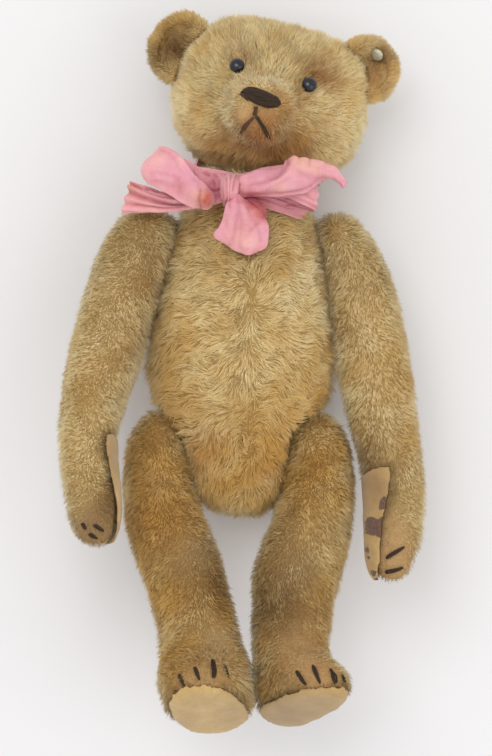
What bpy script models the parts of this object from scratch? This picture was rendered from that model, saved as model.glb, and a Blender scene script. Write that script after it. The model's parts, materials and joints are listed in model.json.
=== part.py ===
"""An old mohair teddy bear, lying on its back, with its head and limbs on disc joints and a ribbon
round its neck.

Metres, +Z up. The origin is on the flat spot of its back. +Y runs to the head and +Z out of its
front, so +X is its own left side. Every stuffed piece is one solid: a cloth cover sewn shut round
its wood wool. Lengths below are in millimetres, and MM turns them into metres.
"""

import math

import bmesh
import bpy
from mathutils import Matrix, Vector
from mathutils.bvhtree import BVHTree

MM = 0.001

# ---- driving dimensions ---------------------------------------------------------------------

MID_DEPTH = 38.0            # height of the joints' plane over the floor
GAP = 0.4                   # clearance between two pieces that touch

HEAD_LEAN = 15.0            # degrees that the head leans over to its own left
NECK_PIVOT = Vector((2.0, 86.0, MID_DEPTH))

SHOULDER_Y = 46.0
HIP_Y = -44.0
# side: (x of the joint's plane, its tilt in degrees, forward swing at rest in degrees)
SHOULDERS = {"left": (35.0, 7.0, 3.0), "right": (-33.5, 12.0, 22.0)}
HIPS = {"left": (18.0, 8.0, 22.0), "right": (-25.5, 8.0, 22.0)}
SIDES = {"left": 1, "right": -1}

SHOULDER_REACH = 25.0       # radius of the hollow in the torso that the arm turns in
HIP_REACH = 26.5

DISC_THICKNESS = 2.0
NECK_DISC_RADIUS = 15.0
SHOULDER_DISC_RADIUS = 11.0
HIP_DISC_RADIUS = 12.0
SKIN_WALL = 2.2             # cloth and stuffing between a disc and the face of its piece
PIN_RADIUS = 1.2
PIN_HOLE_RADIUS = 1.7
PIN_ROOM_RADIUS = 6.5       # pocket behind the disc for the pin's curled ends
PIN_ROOM_DEPTH = 11.5
WASHER_THICKNESS = 0.7
WASHER_RADIUS = 5.0

FELT_THICKNESS = 1.2
THREAD_RADIUS = 0.45
EYE_RADIUS = 3.4
EAR_BUTTON_RADIUS = 2.6

# ---- collections and materials --------------------------------------------------------------

for old in list(bpy.data.objects):
    bpy.data.objects.remove(old)

bear = bpy.data.collections.new("teddy_bear")
cutters = bpy.data.collections.new("cutters")
for collection in (bear, cutters):
    bpy.context.scene.collection.children.link(collection)


def material(name, colour, roughness, metallic=0.0):
    made = bpy.data.materials.new(name)
    made.use_nodes = True
    shader = made.node_tree.nodes["Principled BSDF"]
    shader.inputs["Base Color"].default_value = (*colour, 1.0)
    shader.inputs["Roughness"].default_value = roughness
    shader.inputs["Metallic"].default_value = metallic
    return made


MOHAIR = material("mohair", (0.46, 0.35, 0.18), 0.95)
WORN_MOHAIR = material("worn_mohair", (0.28, 0.17, 0.07), 0.95)
FELT = material("felt", (0.46, 0.34, 0.19), 0.98)
THREAD = material("thread", (0.03, 0.018, 0.014), 0.7)
BOOT_BUTTON = material("boot_button", (0.006, 0.008, 0.014), 0.2)
NICKEL = material("nickel", (0.50, 0.47, 0.38), 0.4, 1.0)
RIBBON = material("ribbon", (0.78, 0.33, 0.37), 0.6)
CARDBOARD = material("cardboard", (0.30, 0.21, 0.12), 0.9)
STEEL = material("steel", (0.35, 0.34, 0.33), 0.45, 1.0)

# ---- building blocks ------------------------------------------------------------------------


def show(mesh, name, finish, matrix=Matrix.Identity(4), parent=None):
    """An object of the bear. matrix is its place in its parent's frame, in metres."""
    made = bpy.data.objects.new(name, mesh)
    bear.objects.link(made)
    made.parent = parent
    made.matrix_local = matrix
    if finish is not None:
        mesh.materials.clear()
        mesh.materials.append(finish)
    return made


def hide(made):
    """Turns an object into a helper for a Boolean."""
    for collection in list(made.users_collection):
        collection.objects.unlink(made)
    cutters.objects.link(made)
    made.hide_render = True
    made.display_type = "WIRE"
    return made


def boolean(body, other, operation):
    modifier = body.modifiers.new(operation.lower() + "_" + other.name, "BOOLEAN")
    modifier.operation = operation
    modifier.solver = "EXACT"
    modifier.object = other


def smooth(levels, body):
    modifier = body.modifiers.new("soft", "SUBSURF")
    modifier.levels = levels
    modifier.render_levels = levels


def ring(low_x, high_x, y, low_z, high_z, count, squareness=1.0, lean=0.0):
    """Points of a rounded section across y, swollen by what Subdivision Surface takes off again.
    squareness is 1 for an ellipse and more for a boxier section; lean tips it forward."""
    swell = 6 / (4 + 2 * math.cos(2 * math.pi / count))
    middle_x, middle_z = (low_x + high_x) / 2, (low_z + high_z) / 2
    half_x, half_z = (high_x - low_x) / 2 * swell, (high_z - low_z) / 2 * swell
    points = []
    for i in range(count):
        turn = 2 * math.pi * (i + 0.5) / count
        across, along = math.cos(turn), math.sin(turn)
        reach = (abs(across) ** (2 * squareness) + abs(along) ** (2 * squareness)) ** (0.5 / squareness)
        x = middle_x + half_x * across / reach
        z = middle_z + half_z * along / reach
        points.append(Vector((x, y + lean * (z - middle_z), z)))
    return points


def loft_mesh(name, rings):
    """A closed mesh through rings of equally many points, in millimetres."""
    shape = bmesh.new()
    loops = [[shape.verts.new(point * MM) for point in points] for points in rings]
    for lower, upper in zip(loops, loops[1:]):
        for i in range(len(lower)):
            shape.faces.new((lower[i - 1], lower[i], upper[i], upper[i - 1]))
    shape.faces.new(loops[0])
    shape.faces.new(reversed(loops[-1]))
    bmesh.ops.recalc_face_normals(shape, faces=shape.faces)
    mesh = bpy.data.meshes.new(name)
    shape.to_mesh(mesh)
    shape.free()
    mesh.shade_smooth()
    return mesh


def turned(name, profile, steps, matrix, finish=None, parent=None):
    """A profile of (radius, height) points, from the top down its outer side, turned about local Z."""
    mesh = bpy.data.meshes.new(name)
    points = [(radius * MM, 0, height * MM) for radius, height in profile]
    mesh.from_pydata(points, [(i, i + 1) for i in range(len(points) - 1)], [])
    made = show(mesh, name, finish, matrix, parent)
    screw = made.modifiers.new("turn", "SCREW")
    screw.axis = "Z"
    screw.steps = screw.render_steps = steps
    screw.use_merge_vertices = True
    screw.merge_threshold = 0.00001
    screw.use_smooth_shade = False
    return made


def evaluated_mesh(made):
    bpy.context.view_layer.update()
    graph = bpy.context.evaluated_depsgraph_get()
    return bpy.data.meshes.new_from_object(made.evaluated_get(graph))


def surface_of(made):
    """What a ray can be cast on, in the object's own frame, in metres."""
    mesh = evaluated_mesh(made)
    shape = bmesh.new()
    shape.from_mesh(mesh)
    tree = BVHTree.FromBMesh(shape)
    shape.free()
    bpy.data.meshes.remove(mesh)
    return tree


def from_front(surface, x, y):
    """(point, normal) where a ray that comes down local Z meets the surface, in metres."""
    hit, normal, _, _ = surface.ray_cast(Vector((x, y, 500)) * MM, Vector((0, 0, -1)))
    return hit, normal


def tube_mesh(name, points, radius, sides=6):
    """A round thread through points, in metres, with closed ends."""
    rings = []
    for i, point in enumerate(points):
        along = (points[min(i + 1, len(points) - 1)] - points[max(i - 1, 0)]).normalized()
        turn = along.to_track_quat("Z", "Y").to_matrix()
        loop = []
        for k in range(sides):
            angle = 2 * math.pi * k / sides
            offset = turn @ Vector((math.cos(angle), math.sin(angle), 0)) * radius
            loop.append(point / MM + offset)
        rings.append(loop)
    return loft_mesh(name, rings)


def stitch(name, surface, ends, finish, parent, points=4, radius=THREAD_RADIUS):
    """A stitch that lies on a surface, between two (x, y) places seen from the front."""
    (x0, y0), (x1, y1) = ends
    route = []
    for i in range(points):
        share = i / (points - 1)
        hit, normal = from_front(surface, x0 + (x1 - x0) * share, y0 + (y1 - y0) * share)
        lift = radius + GAP + 0.5 * math.sin(math.pi * share)
        route.append(hit + normal * lift * MM)
    return show(tube_mesh(name, route, radius), name, finish, parent=parent)


def patch(name, body, outline, thickness, finish, parent, facing=Matrix.Identity(4), near=0.0):
    """A thin piece that lies on a body's surface inside a prism. outline is a list of (x, y) in
    millimetres, facing turns Z to where the patch looks, and near is where the prism starts."""
    mesh = evaluated_mesh(body)
    shape = bmesh.new()
    shape.from_mesh(mesh)
    into = facing.inverted()
    margin = 5 * MM
    lows = [min(p[i] for p in outline) * MM - margin for i in (0, 1)]
    highs = [max(p[i] for p in outline) * MM + margin for i in (0, 1)]
    shape.normal_update()
    away = []
    for face in shape.faces:
        centre = into @ face.calc_center_median()
        looks = (into.to_3x3() @ face.normal).z
        inside = all(lows[i] < centre[i] < highs[i] for i in (0, 1)) and centre.z > near * MM
        if not inside or looks < 0.1:
            away.append(face)
    bmesh.ops.delete(shape, geom=away, context="FACES")
    for vertex in shape.verts:
        vertex.co += vertex.normal * GAP * MM
    shape.to_mesh(mesh)
    shape.free()
    made = show(mesh, name, finish, parent=parent)
    thick = made.modifiers.new("thick", "SOLIDIFY")
    thick.thickness = thickness * MM
    thick.offset = 1.0
    thick.use_even_offset = True
    walls = [[facing @ Vector((x, y, z)) for x, y in outline] for z in (near, near + 200)]
    prism = show(loft_mesh(name + "_outline", walls), name + "_outline", None, parent=parent)
    boolean(made, hide(prism), "INTERSECT")
    return made


def oval(centre_x, centre_y, half_x, half_y, count, squareness=1.0):
    return [(p.x, p.z) for p in ring(centre_x - half_x, centre_x + half_x, 0,
                                     centre_y - half_y, centre_y + half_y, count, squareness)]


# ---- joints ---------------------------------------------------------------------------------


def joint_frame(name, pivot, turn):
    """An empty on a joint's axis."""
    made = bpy.data.objects.new(name, None)
    bear.objects.link(made)
    made.matrix_world = Matrix.Translation(pivot * MM) @ turn
    bpy.context.view_layer.update()
    return made


def limb_frame(name, x, y, tilt, swing):
    """A limb's frame: local X is its joint's axis, -Y runs down the limb and +Z out of its front."""
    turn = Matrix.Rotation(math.radians(tilt), 4, "Z")
    turn = turn @ Matrix.Rotation(-math.radians(swing), 4, "X")
    return joint_frame(name, Vector((x, y, MID_DEPTH)), turn)


def axle(pivot, direction):
    """The matrix of a joint's hardware: local Z along its axis, out of the torso."""
    turn = direction.normalized().to_track_quat("Z", "Y").to_matrix().to_4x4()
    return Matrix.Translation(pivot * MM) @ turn


def pocket(name, radius, matrix, parent, sign):
    """The cutter for one half of a joint: the pin's hole, the disc's slot and the pin's room."""
    wide = radius + GAP
    slot_end = SKIN_WALL + 2 * GAP + DISC_THICKNESS + WASHER_THICKNESS + GAP
    profile = [(0, PIN_ROOM_DEPTH), (PIN_ROOM_RADIUS, PIN_ROOM_DEPTH), (PIN_ROOM_RADIUS, slot_end),
               (wide, slot_end), (wide, SKIN_WALL), (PIN_HOLE_RADIUS, SKIN_WALL),
               (PIN_HOLE_RADIUS, -2.0), (0, -2.0)]
    flip = Matrix.Identity(4) if sign > 0 else Matrix.Rotation(math.pi, 4, "X")
    return hide(turned(name, profile, 16, matrix @ flip, None, parent))


def flat_ring(name, outer, inner, low, high, steps, matrix, finish, parent):
    profile = [(inner, high), (outer, high), (outer, low), (inner, low), (inner, high)]
    return turned(name, profile, steps, matrix, finish, parent)


def joint_hardware(joint, limb, radius, matrix, limb_matrix, limb_parent):
    """Two cardboard discs, two washers and the cotter pin that draws them together. matrix places
    them from the torso, and limb_matrix places the limb's half in its own frame."""
    disc_low = SKIN_WALL + GAP
    disc_high = disc_low + DISC_THICKNESS
    washer_low = disc_high + GAP
    washer_high = washer_low + WASHER_THICKNESS
    halves = ((limb, limb_matrix, limb_parent, 1), ("torso", matrix, None, -1))
    for half, place, parent, sign in halves:
        disc = sorted((sign * disc_low, sign * disc_high))
        washer = sorted((sign * washer_low, sign * washer_high))
        hole = PIN_RADIUS + GAP
        flat_ring(f"{joint}_{half}_disc", radius, hole, *disc, 16, place, CARDBOARD, parent)
        flat_ring(f"{joint}_{half}_washer", WASHER_RADIUS, hole, *washer, 10, place, STEEL, parent)
    cotter_pin(f"{joint}_pin", washer_high, matrix)


def cotter_pin(name, seat, matrix):
    """A round shank with a flat head on the torso's washer and two ends curled down on the other."""
    head_low = seat + GAP + 1.6
    profile = [(0, seat + GAP), (PIN_RADIUS, seat + GAP), (PIN_RADIUS, -seat - GAP),
               (2.8, -seat - GAP), (2.8, -head_low), (0, -head_low)]
    pin = turned(name, profile, 10, matrix, STEEL)
    for side in (-1, 1):
        curl = []
        for i in range(5):
            turn = math.radians(190 * i / 4)
            x = side * (2.4 - 1.9 * math.cos(turn))
            curl.append(Vector((x, 0, seat + 1.2 + 1.9 * math.sin(turn))) * MM)
        curl.insert(0, Vector((side * 0.5, 0, seat - 1.5)) * MM)
        mesh = tube_mesh(f"{name}_end_{side}", curl, 0.55, 5)
        boolean(pin, hide(show(mesh, mesh.name, None, matrix)), "UNION")


# ---- torso ----------------------------------------------------------------------------------

lean = math.radians(HEAD_LEAN)
NECK_AXIS = Vector((math.sin(lean), math.cos(lean), 0))
NECK_SIDE = Vector((math.cos(lean), -math.sin(lean), 0))


def neck_ring(height, radius, count):
    """A round section across the neck's axis."""
    swell = 6 / (4 + 2 * math.cos(2 * math.pi / count))
    points = []
    for i in range(count):
        turn = 2 * math.pi * (i + 0.5) / count
        across = NECK_SIDE * math.cos(turn) + Vector((0, 0, 1)) * math.sin(turn)
        points.append(NECK_PIVOT + NECK_AXIS * height + across * radius * swell)
    return points


# y, left edge, right edge, back, front
TORSO_SECTIONS = (
    (-71.5, -8, 4, 32, 45),
    (-68, -17, 12, 22, 54),
    (-60, -25, 20, 12, 61),
    (-48, -32.5, 25, 4, 66),
    (-35, -38.5, 31.5, 0, 71),
    (-20, -43, 38, -2, 74.5),
    (0, -44, 39, -2.5, 76),
    (20, -42, 38, -2.5, 74.5),
    (38, -37.5, 36.5, -2, 71.5),
    (54, -33.5, 34.5, 0, 67),
    (66, -29.5, 32, 5, 62.5),
)
TORSO_COUNT = 16


def make_torso():
    rings = [ring(left, right, y, back, front, TORSO_COUNT, 1.08)
             for y, left, right, back, front in TORSO_SECTIONS]
    rings.append(neck_ring(-10, 26.5, TORSO_COUNT))
    rings.append(neck_ring(-4.5, 24.5, TORSO_COUNT))
    rings.append(neck_ring(-GAP, 19.5, TORSO_COUNT))
    torso = show(loft_mesh("torso", rings), "torso", MOHAIR)
    smooth(1, torso)
    return torso


def floor_cutter():
    """Takes off what would reach below the floor: the flat spots that the bear lies on."""
    mesh = bpy.data.meshes.new("floor_cutter")
    shape = bmesh.new()
    bmesh.ops.create_cube(shape, size=1.0)
    bmesh.ops.scale(shape, vec=Vector((400, 500, 40)) * MM, verts=shape.verts)
    bmesh.ops.translate(shape, vec=Vector((0, 0, -20)) * MM, verts=shape.verts)
    shape.to_mesh(mesh)
    shape.free()
    return hide(show(mesh, "floor_cutter", None))


def hollow(name, reach, matrix):
    """The round hollow in the torso's side that a limb is drawn into."""
    profile = [(0, 40), (reach, 40), (reach, 3.5), (reach - 1.2, 1.0), (reach - 4, 0), (0, 0)]
    return hide(turned(name, profile, 24, matrix))


# ---- limbs ----------------------------------------------------------------------------------

# down the arm, inner edge, outer edge, back, front, lean of the section
ARM_SECTIONS = {
    "left": (
        (-19.5, 4, 11, -9, 9, 0),
        (-16, 1, 17, -16, 16, 0),
        (-8, 0.5, 22, -20.5, 20.5, 0),
        (5, 0.5, 28, -21.5, 21.5, 0),
        (20, 0.5, 31, -21, 21, 0),
        (40, 2, 33.5, -19, 20, 0),
        (62, 2, 33.5, -16.5, 20.5, -0.06),
        (84, 4, 33.5, -12.5, 21.5, -0.14),
        (104, 7.5, 33, -7, 23.5, -0.24),
        (124, 4.8, 31, -1, 27, -0.34),
        (139, 2.6, 25, 6.5, 29.5, -0.42),
        (149, 5, 20.5, 13, 27, -0.42),
    ),
    "right": (
        (-19.5, 4, 18.5, -9, 9, 0),
        (-16, 1, 25, -16, 16, 0),
        (-8, 0.5, 30, -20.5, 20.5, 0),
        (5, 0.5, 33, -21.5, 21.5, 0),
        (20, 2.0, 34.5, -21, 21, 0),
        (40, 5.6, 36, -19, 20, 0),
        (62, 4.5, 35.5, -16.5, 20.5, -0.06),
        (84, 8.5, 33.5, -12.5, 21.5, -0.14),
        (104, 6, 30, -7, 23.5, -0.24),
        (124, -1.5, 23, -1, 27, -0.34),
        (139, -3.5, 17, 6.5, 29.5, -0.42),
        (149, -1, 12, 13, 27, -0.42),
    ),
}

# down the leg, inner edge, outer edge, back, front
LEG_SECTIONS = {
    "left": (
        (-21, 5, 16, -9, 9),
        (-17, 1.5, 22, -17, 17),
        (-9, 0.5, 27.5, -21.6, 21.6),
        (4, 0.5, 31.5, -22.6, 22.6),
        (20, 1.0, 33, -22.5, 23),
        (40, -2.5, 34, -22, 22.5),
        (54, -8, 31.5, -20, 21),
        (74, -5, 29, -17.5, 19),
        (92, -3, 29, -16, 18.5),
        (98.5, -2, 31.5, -16.5, 23),
        (104.5, -2, 32, -17.5, 33),
        (112, -1.5, 31, -17.5, 38.5),
        (118, 0.5, 29.5, -15.5, 37),
        (120, 4, 26, -12, 33.5),
    ),
    "right": (
        (-21, 5, 16, -9, 9),
        (-17, 1.5, 22, -17, 17),
        (-9, 0.5, 27.5, -21.6, 21.6),
        (4, 0.5, 31, -22.6, 22.6),
        (20, 1.0, 32, -22.5, 23),
        (40, -4, 32, -22, 22.5),
        (54, -8.5, 28, -20, 21),
        (74, -9, 23.5, -17.5, 19),
        (92, -12, 23.5, -16, 18.5),
        (100.5, -14.5, 24, -16.5, 23),
        (108.5, -15.5, 24.5, -17.5, 33),
        (116, -15.5, 23, -17.5, 39),
        (122, -14, 21.5, -15.5, 37),
        (124, -10.5, 18, -12, 33.5),
    ),
}
# how far each foot turns out, as a shift across for a step forward
TOE_OUT = {"left": 0.46, "right": 0.16}
SOLE_LEAN = {"left": 0.10, "right": 0.13}   # how far the soles tip to face forward
LIMB_COUNT = 12
DRAWN_IN = 5                # how many of a limb's sections stay on its own side of the joint's plane
FOOT_START = 91.0


def squareness_at(i):
    """A limb is boxier in its drawn-in sections, where its disc lies."""
    return 1.3 if i < DRAWN_IN else 1.1


def draw_in(rings, sign):
    for points in rings[:DRAWN_IN]:
        for point in points:
            point.x = sign * max(sign * point.x, GAP)


def make_arm(name, side):
    sign = SIDES[side]
    x, tilt, swing = SHOULDERS[side]
    frame = limb_frame(f"shoulder_{side}_joint", x, SHOULDER_Y, sign * tilt, swing)
    rings = []
    for i, (down, inner, outer, back, front, tip) in enumerate(ARM_SECTIONS[side]):
        edges = sorted((sign * inner, sign * outer))
        rings.append(ring(*edges, -down, back, front, LIMB_COUNT, squareness_at(i), tip))
    draw_in(rings, sign)
    arm = show(loft_mesh(name, rings), name, MOHAIR, parent=frame)
    smooth(1, arm)
    return arm, frame


def make_leg(name, side):
    sign = SIDES[side]
    x, tilt, swing = HIPS[side]
    frame = limb_frame(f"hip_{side}_joint", x, HIP_Y, -sign * tilt, swing)
    rings = []
    for i, (down, inner, outer, back, front) in enumerate(LEG_SECTIONS[side]):
        edges = sorted((sign * inner, sign * outer))
        share = min(1.0, max(0.0, (down - FOOT_START) / 15))
        lean = SOLE_LEAN[side] * share
        points = ring(*edges, -down, back, front, LIMB_COUNT, squareness_at(i), lean)
        for point in points:
            point.x += sign * TOE_OUT[side] * share * max(0.0, point.z)
        rings.append(points)
    draw_in(rings, sign)
    leg = show(loft_mesh(name, rings), name, MOHAIR, parent=frame)
    smooth(1, leg)
    return leg, frame


# the degrees that each paw's pad looks inwards
PAD_TURN = {"left": 35.0, "right": 50.0}
# down the paw, inner edge, outer edge of the pad, seen from where it looks
PAW_PADS = {
    "left": ((98, 20, 28), (101, 12, 28.3), (104, 6.5, 28), (111, 5.5, 26.6), (122, 5.5, 23.8),
             (132, 6, 22.8), (141, 7.5, 22), (148, 11, 19.5)),
    "right": ((95, 10, 18), (97.5, 5.5, 22), (104, 4, 21.8), (116, 2, 18.6), (128, 0, 15.2),
              (138, 0, 14.2), (145, 3, 13)),
}
# each sole's pad: middle across and forward, half width and half length
SOLE_PADS = {"left": (15.5, 11.3, 13.8, 25.7), "right": (4.0, 11.5, 15.8, 26.0)}
SOLE_SQUARENESS = 1.12
# each claw's two ends, across and down
PAW_CLAWS = {
    "left": (((10.8, 138.7), (19.4, 134.6)), ((9.6, 145), (17.8, 143.6))),
    "right": (((6.7, 141.9), (1.6, 143.2)), ((7.7, 146.4), (3.5, 147.3)), ((11.9, 142), (9.4, 144.5))),
}
FOOT_CLAWS = {
    "left": (((16.8, 109), (20.8, 114)), ((23.4, 106.6), (26.6, 113)), ((31.0, 107.4), (33.5, 112.5)),
             ((36.2, 108.5), (37.8, 111.6))),
    "right": (((-3.8, 108.6), (-5.0, 113.6)), ((1.0, 106.2), (1.3, 114.4)), ((8.9, 109.8), (7.7, 115.2)),
              ((16.0, 111.6), (14.4, 116.8))),
}


def sew_claws(name, sign, ends, frame, surface):
    for i, pair in enumerate(ends):
        route = [(sign * across, -down) for across, down in pair]
        stitch(f"{name}_{i + 1}", surface, route, THREAD, frame)


def add_paw(side, arm, frame, surface):
    """The felt pad on the paw's palm and the claws sewn across its tip."""
    sign = SIDES[side]
    rows = PAW_PADS[side]
    outline = [(inner, -down) for down, inner, _ in rows]
    outline += [(outer, -down) for down, _, outer in reversed(rows)]
    outline = [(sign * x, y) for x, y in outline[::-sign]]
    facing = Matrix.Rotation(math.radians(-sign * PAD_TURN[side]), 4, "Y")
    patch(f"paw_pad_{side}", arm, outline, FELT_THICKNESS, FELT, frame, facing, -20)
    sew_claws(f"claw_arm_{side}", sign, PAW_CLAWS[side], frame, surface)


def add_sole(side, leg, frame, surface):
    """The felt pad on the sole and the claws sewn over the toe."""
    sign = SIDES[side]
    across, forward, half_width, half_length = SOLE_PADS[side]
    outline = [(x + sign * TOE_OUT[side] * max(0.0, y), y)
               for x, y in oval(sign * across, forward, half_width, half_length, 18, SOLE_SQUARENESS)]
    facing = Matrix.Rotation(math.radians(90), 4, "X")
    patch(f"sole_pad_{side}", leg, outline, FELT_THICKNESS, FELT, frame, facing, 105)
    sew_claws(f"claw_leg_{side}", sign, FOOT_CLAWS[side], frame, surface)


# ---- head -----------------------------------------------------------------------------------

# up the head, left edge, right edge, back, front
SKULL_SECTIONS = (
    (8, -34.5, 34.5, -28, 28),
    (16, -41, 41, -35, 33.5),
    (28, -44.5, 45, -39.5, 37),
    (40, -43.5, 44, -39.5, 36),
    (51, -41.5, 42.5, -36.5, 30.5),
    (60, -37.5, 40.5, -31.5, 22),
    (67, -28.5, 33.5, -21.5, 12.5),
    (70.5, -16, 22, -11, 4),
)
SKULL_COUNT = 16
# out along the muzzle, left edge, right edge, lower edge, upper edge
MUZZLE_SECTIONS = (
    (16, -20.5, 17.5, 9, 46),
    (31, -20, 16, 10, 43),
    (41, -17, 12.5, 12, 39.5),
    (47.5, -13.5, 8.5, 15, 36.5),
    (50.5, -9, 3.5, 19.5, 33.5),
)
# side: (middle of the ear across and up, turn of its chord in degrees, half size out and along)
EARS = {"left": ((39.5, 59.5), 27.0, 14.0, 15.5), "right": ((-45.5, 47), -14.0, 14.0, 16.5)}

EYES = {"left": 15.9, "right": -17.5}
EYE_LEVEL = 42.3
NOSE = (-3.3, 29.0, 9.2, 4.2)       # middle across and up, half width, half height
NOSE_THICKNESS = 1.6
MOUTH_STEM = ((-3.5, 23.8), (-3.1, 19.8))
MOUTH_FORK = (-3.1, 20.6)
MOUTH_ENDS = ((-10.0, 13.9), (4.4, 15.4))


def make_head():
    frame = joint_frame("neck_joint", NECK_PIVOT, Matrix.Rotation(-lean, 4, "Z"))
    neck = [ring(-r, r, y, -r, r, SKULL_COUNT) for y, r in ((GAP, 20.5), (2.5, 26.5))]
    rings = neck + [ring(left, right, y, back, front, SKULL_COUNT, 1.06)
                    for y, left, right, back, front in SKULL_SECTIONS]
    head = show(loft_mesh("head", rings), "head", MOHAIR, parent=frame)
    smooth(1, head)
    upright = Matrix.Rotation(math.radians(90), 3, "X")
    muzzle_rings = []
    for out, left, right, low, high in MUZZLE_SECTIONS:
        points = ring(left, right, 0, low, high, 12, 1.15)
        muzzle_rings.append([Vector((p.x, p.z, out)) for p in points])
    muzzle = show(loft_mesh("muzzle", muzzle_rings), "muzzle", None, parent=frame)
    smooth(1, muzzle)
    boolean(head, hide(muzzle), "UNION")
    return head, frame


def grown_copy(body, by):
    """A helper with a body's shape, grown all round."""
    mesh = evaluated_mesh(body)
    shape = bmesh.new()
    shape.from_mesh(mesh)
    shape.normal_update()
    for vertex in shape.verts:
        vertex.co += vertex.normal * by * MM
    shape.to_mesh(mesh)
    shape.free()
    return hide(show(mesh, body.name + "_grown", None, parent=body.parent))


def make_ear(name, side, frame, skull):
    """A cupped half-round flap, sewn to the head along its straight edge."""
    (x, y), chord, out, along = EARS[side]
    place = Matrix.Translation(Vector((x, y, 3)) * MM)
    place = place @ Matrix.Rotation(math.radians(chord), 4, "Z")
    shape = bmesh.new()
    bmesh.ops.create_uvsphere(shape, u_segments=18, v_segments=10, radius=1.0)
    bmesh.ops.scale(shape, vec=Vector((out, along, 7.5)) * MM, verts=shape.verts)
    mesh = bpy.data.meshes.new(name)
    shape.to_mesh(mesh)
    shape.free()
    ear = show(mesh, name, WORN_MOHAIR, place, frame)
    shape = bmesh.new()
    bmesh.ops.create_uvsphere(shape, u_segments=16, v_segments=8, radius=1.0)
    bmesh.ops.scale(shape, vec=Vector((out - 3.5, along - 3.5, 7)) * MM, verts=shape.verts)
    bmesh.ops.translate(shape, vec=Vector((0, 0, 7.5)) * MM, verts=shape.verts)
    cup = bpy.data.meshes.new(name + "_cup")
    shape.to_mesh(cup)
    shape.free()
    boolean(ear, hide(show(cup, cup.name, None, place, frame)), "DIFFERENCE")
    boolean(ear, skull, "DIFFERENCE")
    return ear


def make_eye(name, x, y, surface, head, frame):
    """A boot button: a domed face on a short shank that is sewn into the head."""
    hit, normal = from_front(surface, x, y)
    place = axle(hit / MM, (normal + Vector((0, 0, 1.5))))
    dome = [(0, 2.6)]
    for i in range(1, 5):
        turn = math.radians(90 * i / 4)
        dome.append((EYE_RADIUS * math.sin(turn), 0.2 + 2.4 * math.cos(turn)))
    profile = dome + [(EYE_RADIUS * 0.8, -0.8), (1.0, -1.2), (1.0, -4.0), (0, -4.0)]
    turned(name, profile, 16, place, BOOT_BUTTON, frame)
    wide = EYE_RADIUS + GAP
    socket = [(0, 6), (wide, 6), (wide, 0), (EYE_RADIUS * 0.8 + GAP, -1.3),
              (1.5, -1.6), (1.5, -4.5), (0, -4.5)]
    boolean(head, hide(turned(name + "_socket", socket, 16, place, None, frame)), "DIFFERENCE")


def make_ear_button(ear, frame):
    """A plain domed rivet in the left ear."""
    surface = surface_of(ear)
    x, y = 6.3, 5.7
    hit, normal = from_front(surface, x, y)
    place = ear.matrix_local @ axle(hit / MM + normal * (GAP + 0.5), normal)
    profile = [(0, 1.5), (1.3, 1.3), (2.3, 0.7), (EAR_BUTTON_RADIUS, 0), (0, 0)]
    turned("ear_button", profile, 16, place, NICKEL, frame)


# ---- ribbon ---------------------------------------------------------------------------------


def tilted_loft(name, stations, count=8, squareness=1.3):
    """A soft flat form along X. Each station is x, middle y, half height, low z, high z and how
    much the section leans along."""
    rings = []
    for x, y, half, low, high, slant in stations:
        points = ring(-half, half, 0, low, high, count, squareness)
        rings.append([Vector((x + slant * p.x, y + p.x, p.z)) for p in points])
    return show(loft_mesh(name, rings), name, RIBBON)


def make_ribbon():
    """The neck band, the knot, two loops and two tails, which are one strip tied in a bow."""
    band = []
    for radius, height in ((28.4, 2.5), (30.2, 2.5), (31.6, -6.5), (29.9, -6.5), (28.4, 2.5)):
        band.append((radius, height))
    ribbon = turned("ribbon", band, 32, axle(NECK_PIVOT, NECK_AXIS), RIBBON)
    parts = [
        tilted_loft("ribbon_knot", ((-17, 79, 5, 67, 76, 0), (-14, 79, 7.5, 65, 80, 0),
                                    (-8, 79, 8.5, 64.5, 81.5, 0), (-3, 78.5, 7.5, 65, 80, 0),
                                    (0, 78.5, 5, 67, 76, 0))),
        tilted_loft("ribbon_left_loop", ((-12, 80, 5.5, 66, 77, 0), (-22, 83, 9, 64, 82, 0),
                                         (-34, 84.5, 12.5, 63, 82, 0), (-44, 82, 12.5, 63, 80, 0.1),
                                         (-48, 80, 10.5, 66, 76, 0.2))),
        tilted_loft("ribbon_left_tail", ((-20, 77, 5.5, 62.5, 66.5, 0), (-34, 74.5, 7, 61, 64.5, 0),
                                         (-46, 74, 8, 58, 61.5, 0.1), (-56, 74, 8, 54, 57.5, 0.25))),
        tilted_loft("ribbon_right_loop", ((-5, 80, 5.5, 66, 77, 0), (6, 81.5, 8.5, 64, 82, 0),
                                          (20, 81.5, 9.5, 63, 82, 0.1), (34, 79, 9.5, 63, 80, 0.2),
                                          (45, 77, 8.5, 64, 75, 0.3))),
    ]
    tail = []
    for y, x, half, low in ((77, -7, 6, 75), (68, -4, 9.5, 73.5), (58, -2, 12, 69.6), (49.5, 0, 12, 67.5)):
        tail.append([Vector((x + p.x, y, p.z)) for p in ring(-half, half, 0, low, low + 2.6, 8, 1.3)])
    parts.append(show(loft_mesh("ribbon_front_tail", tail), "ribbon_front_tail", None))
    for part in parts:
        smooth(1, part)
        boolean(ribbon, hide(part), "UNION")
    return ribbon


# ---- the bear -------------------------------------------------------------------------------

torso = make_torso()
floor = floor_cutter()
boolean(torso, floor, "DIFFERENCE")

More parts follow.
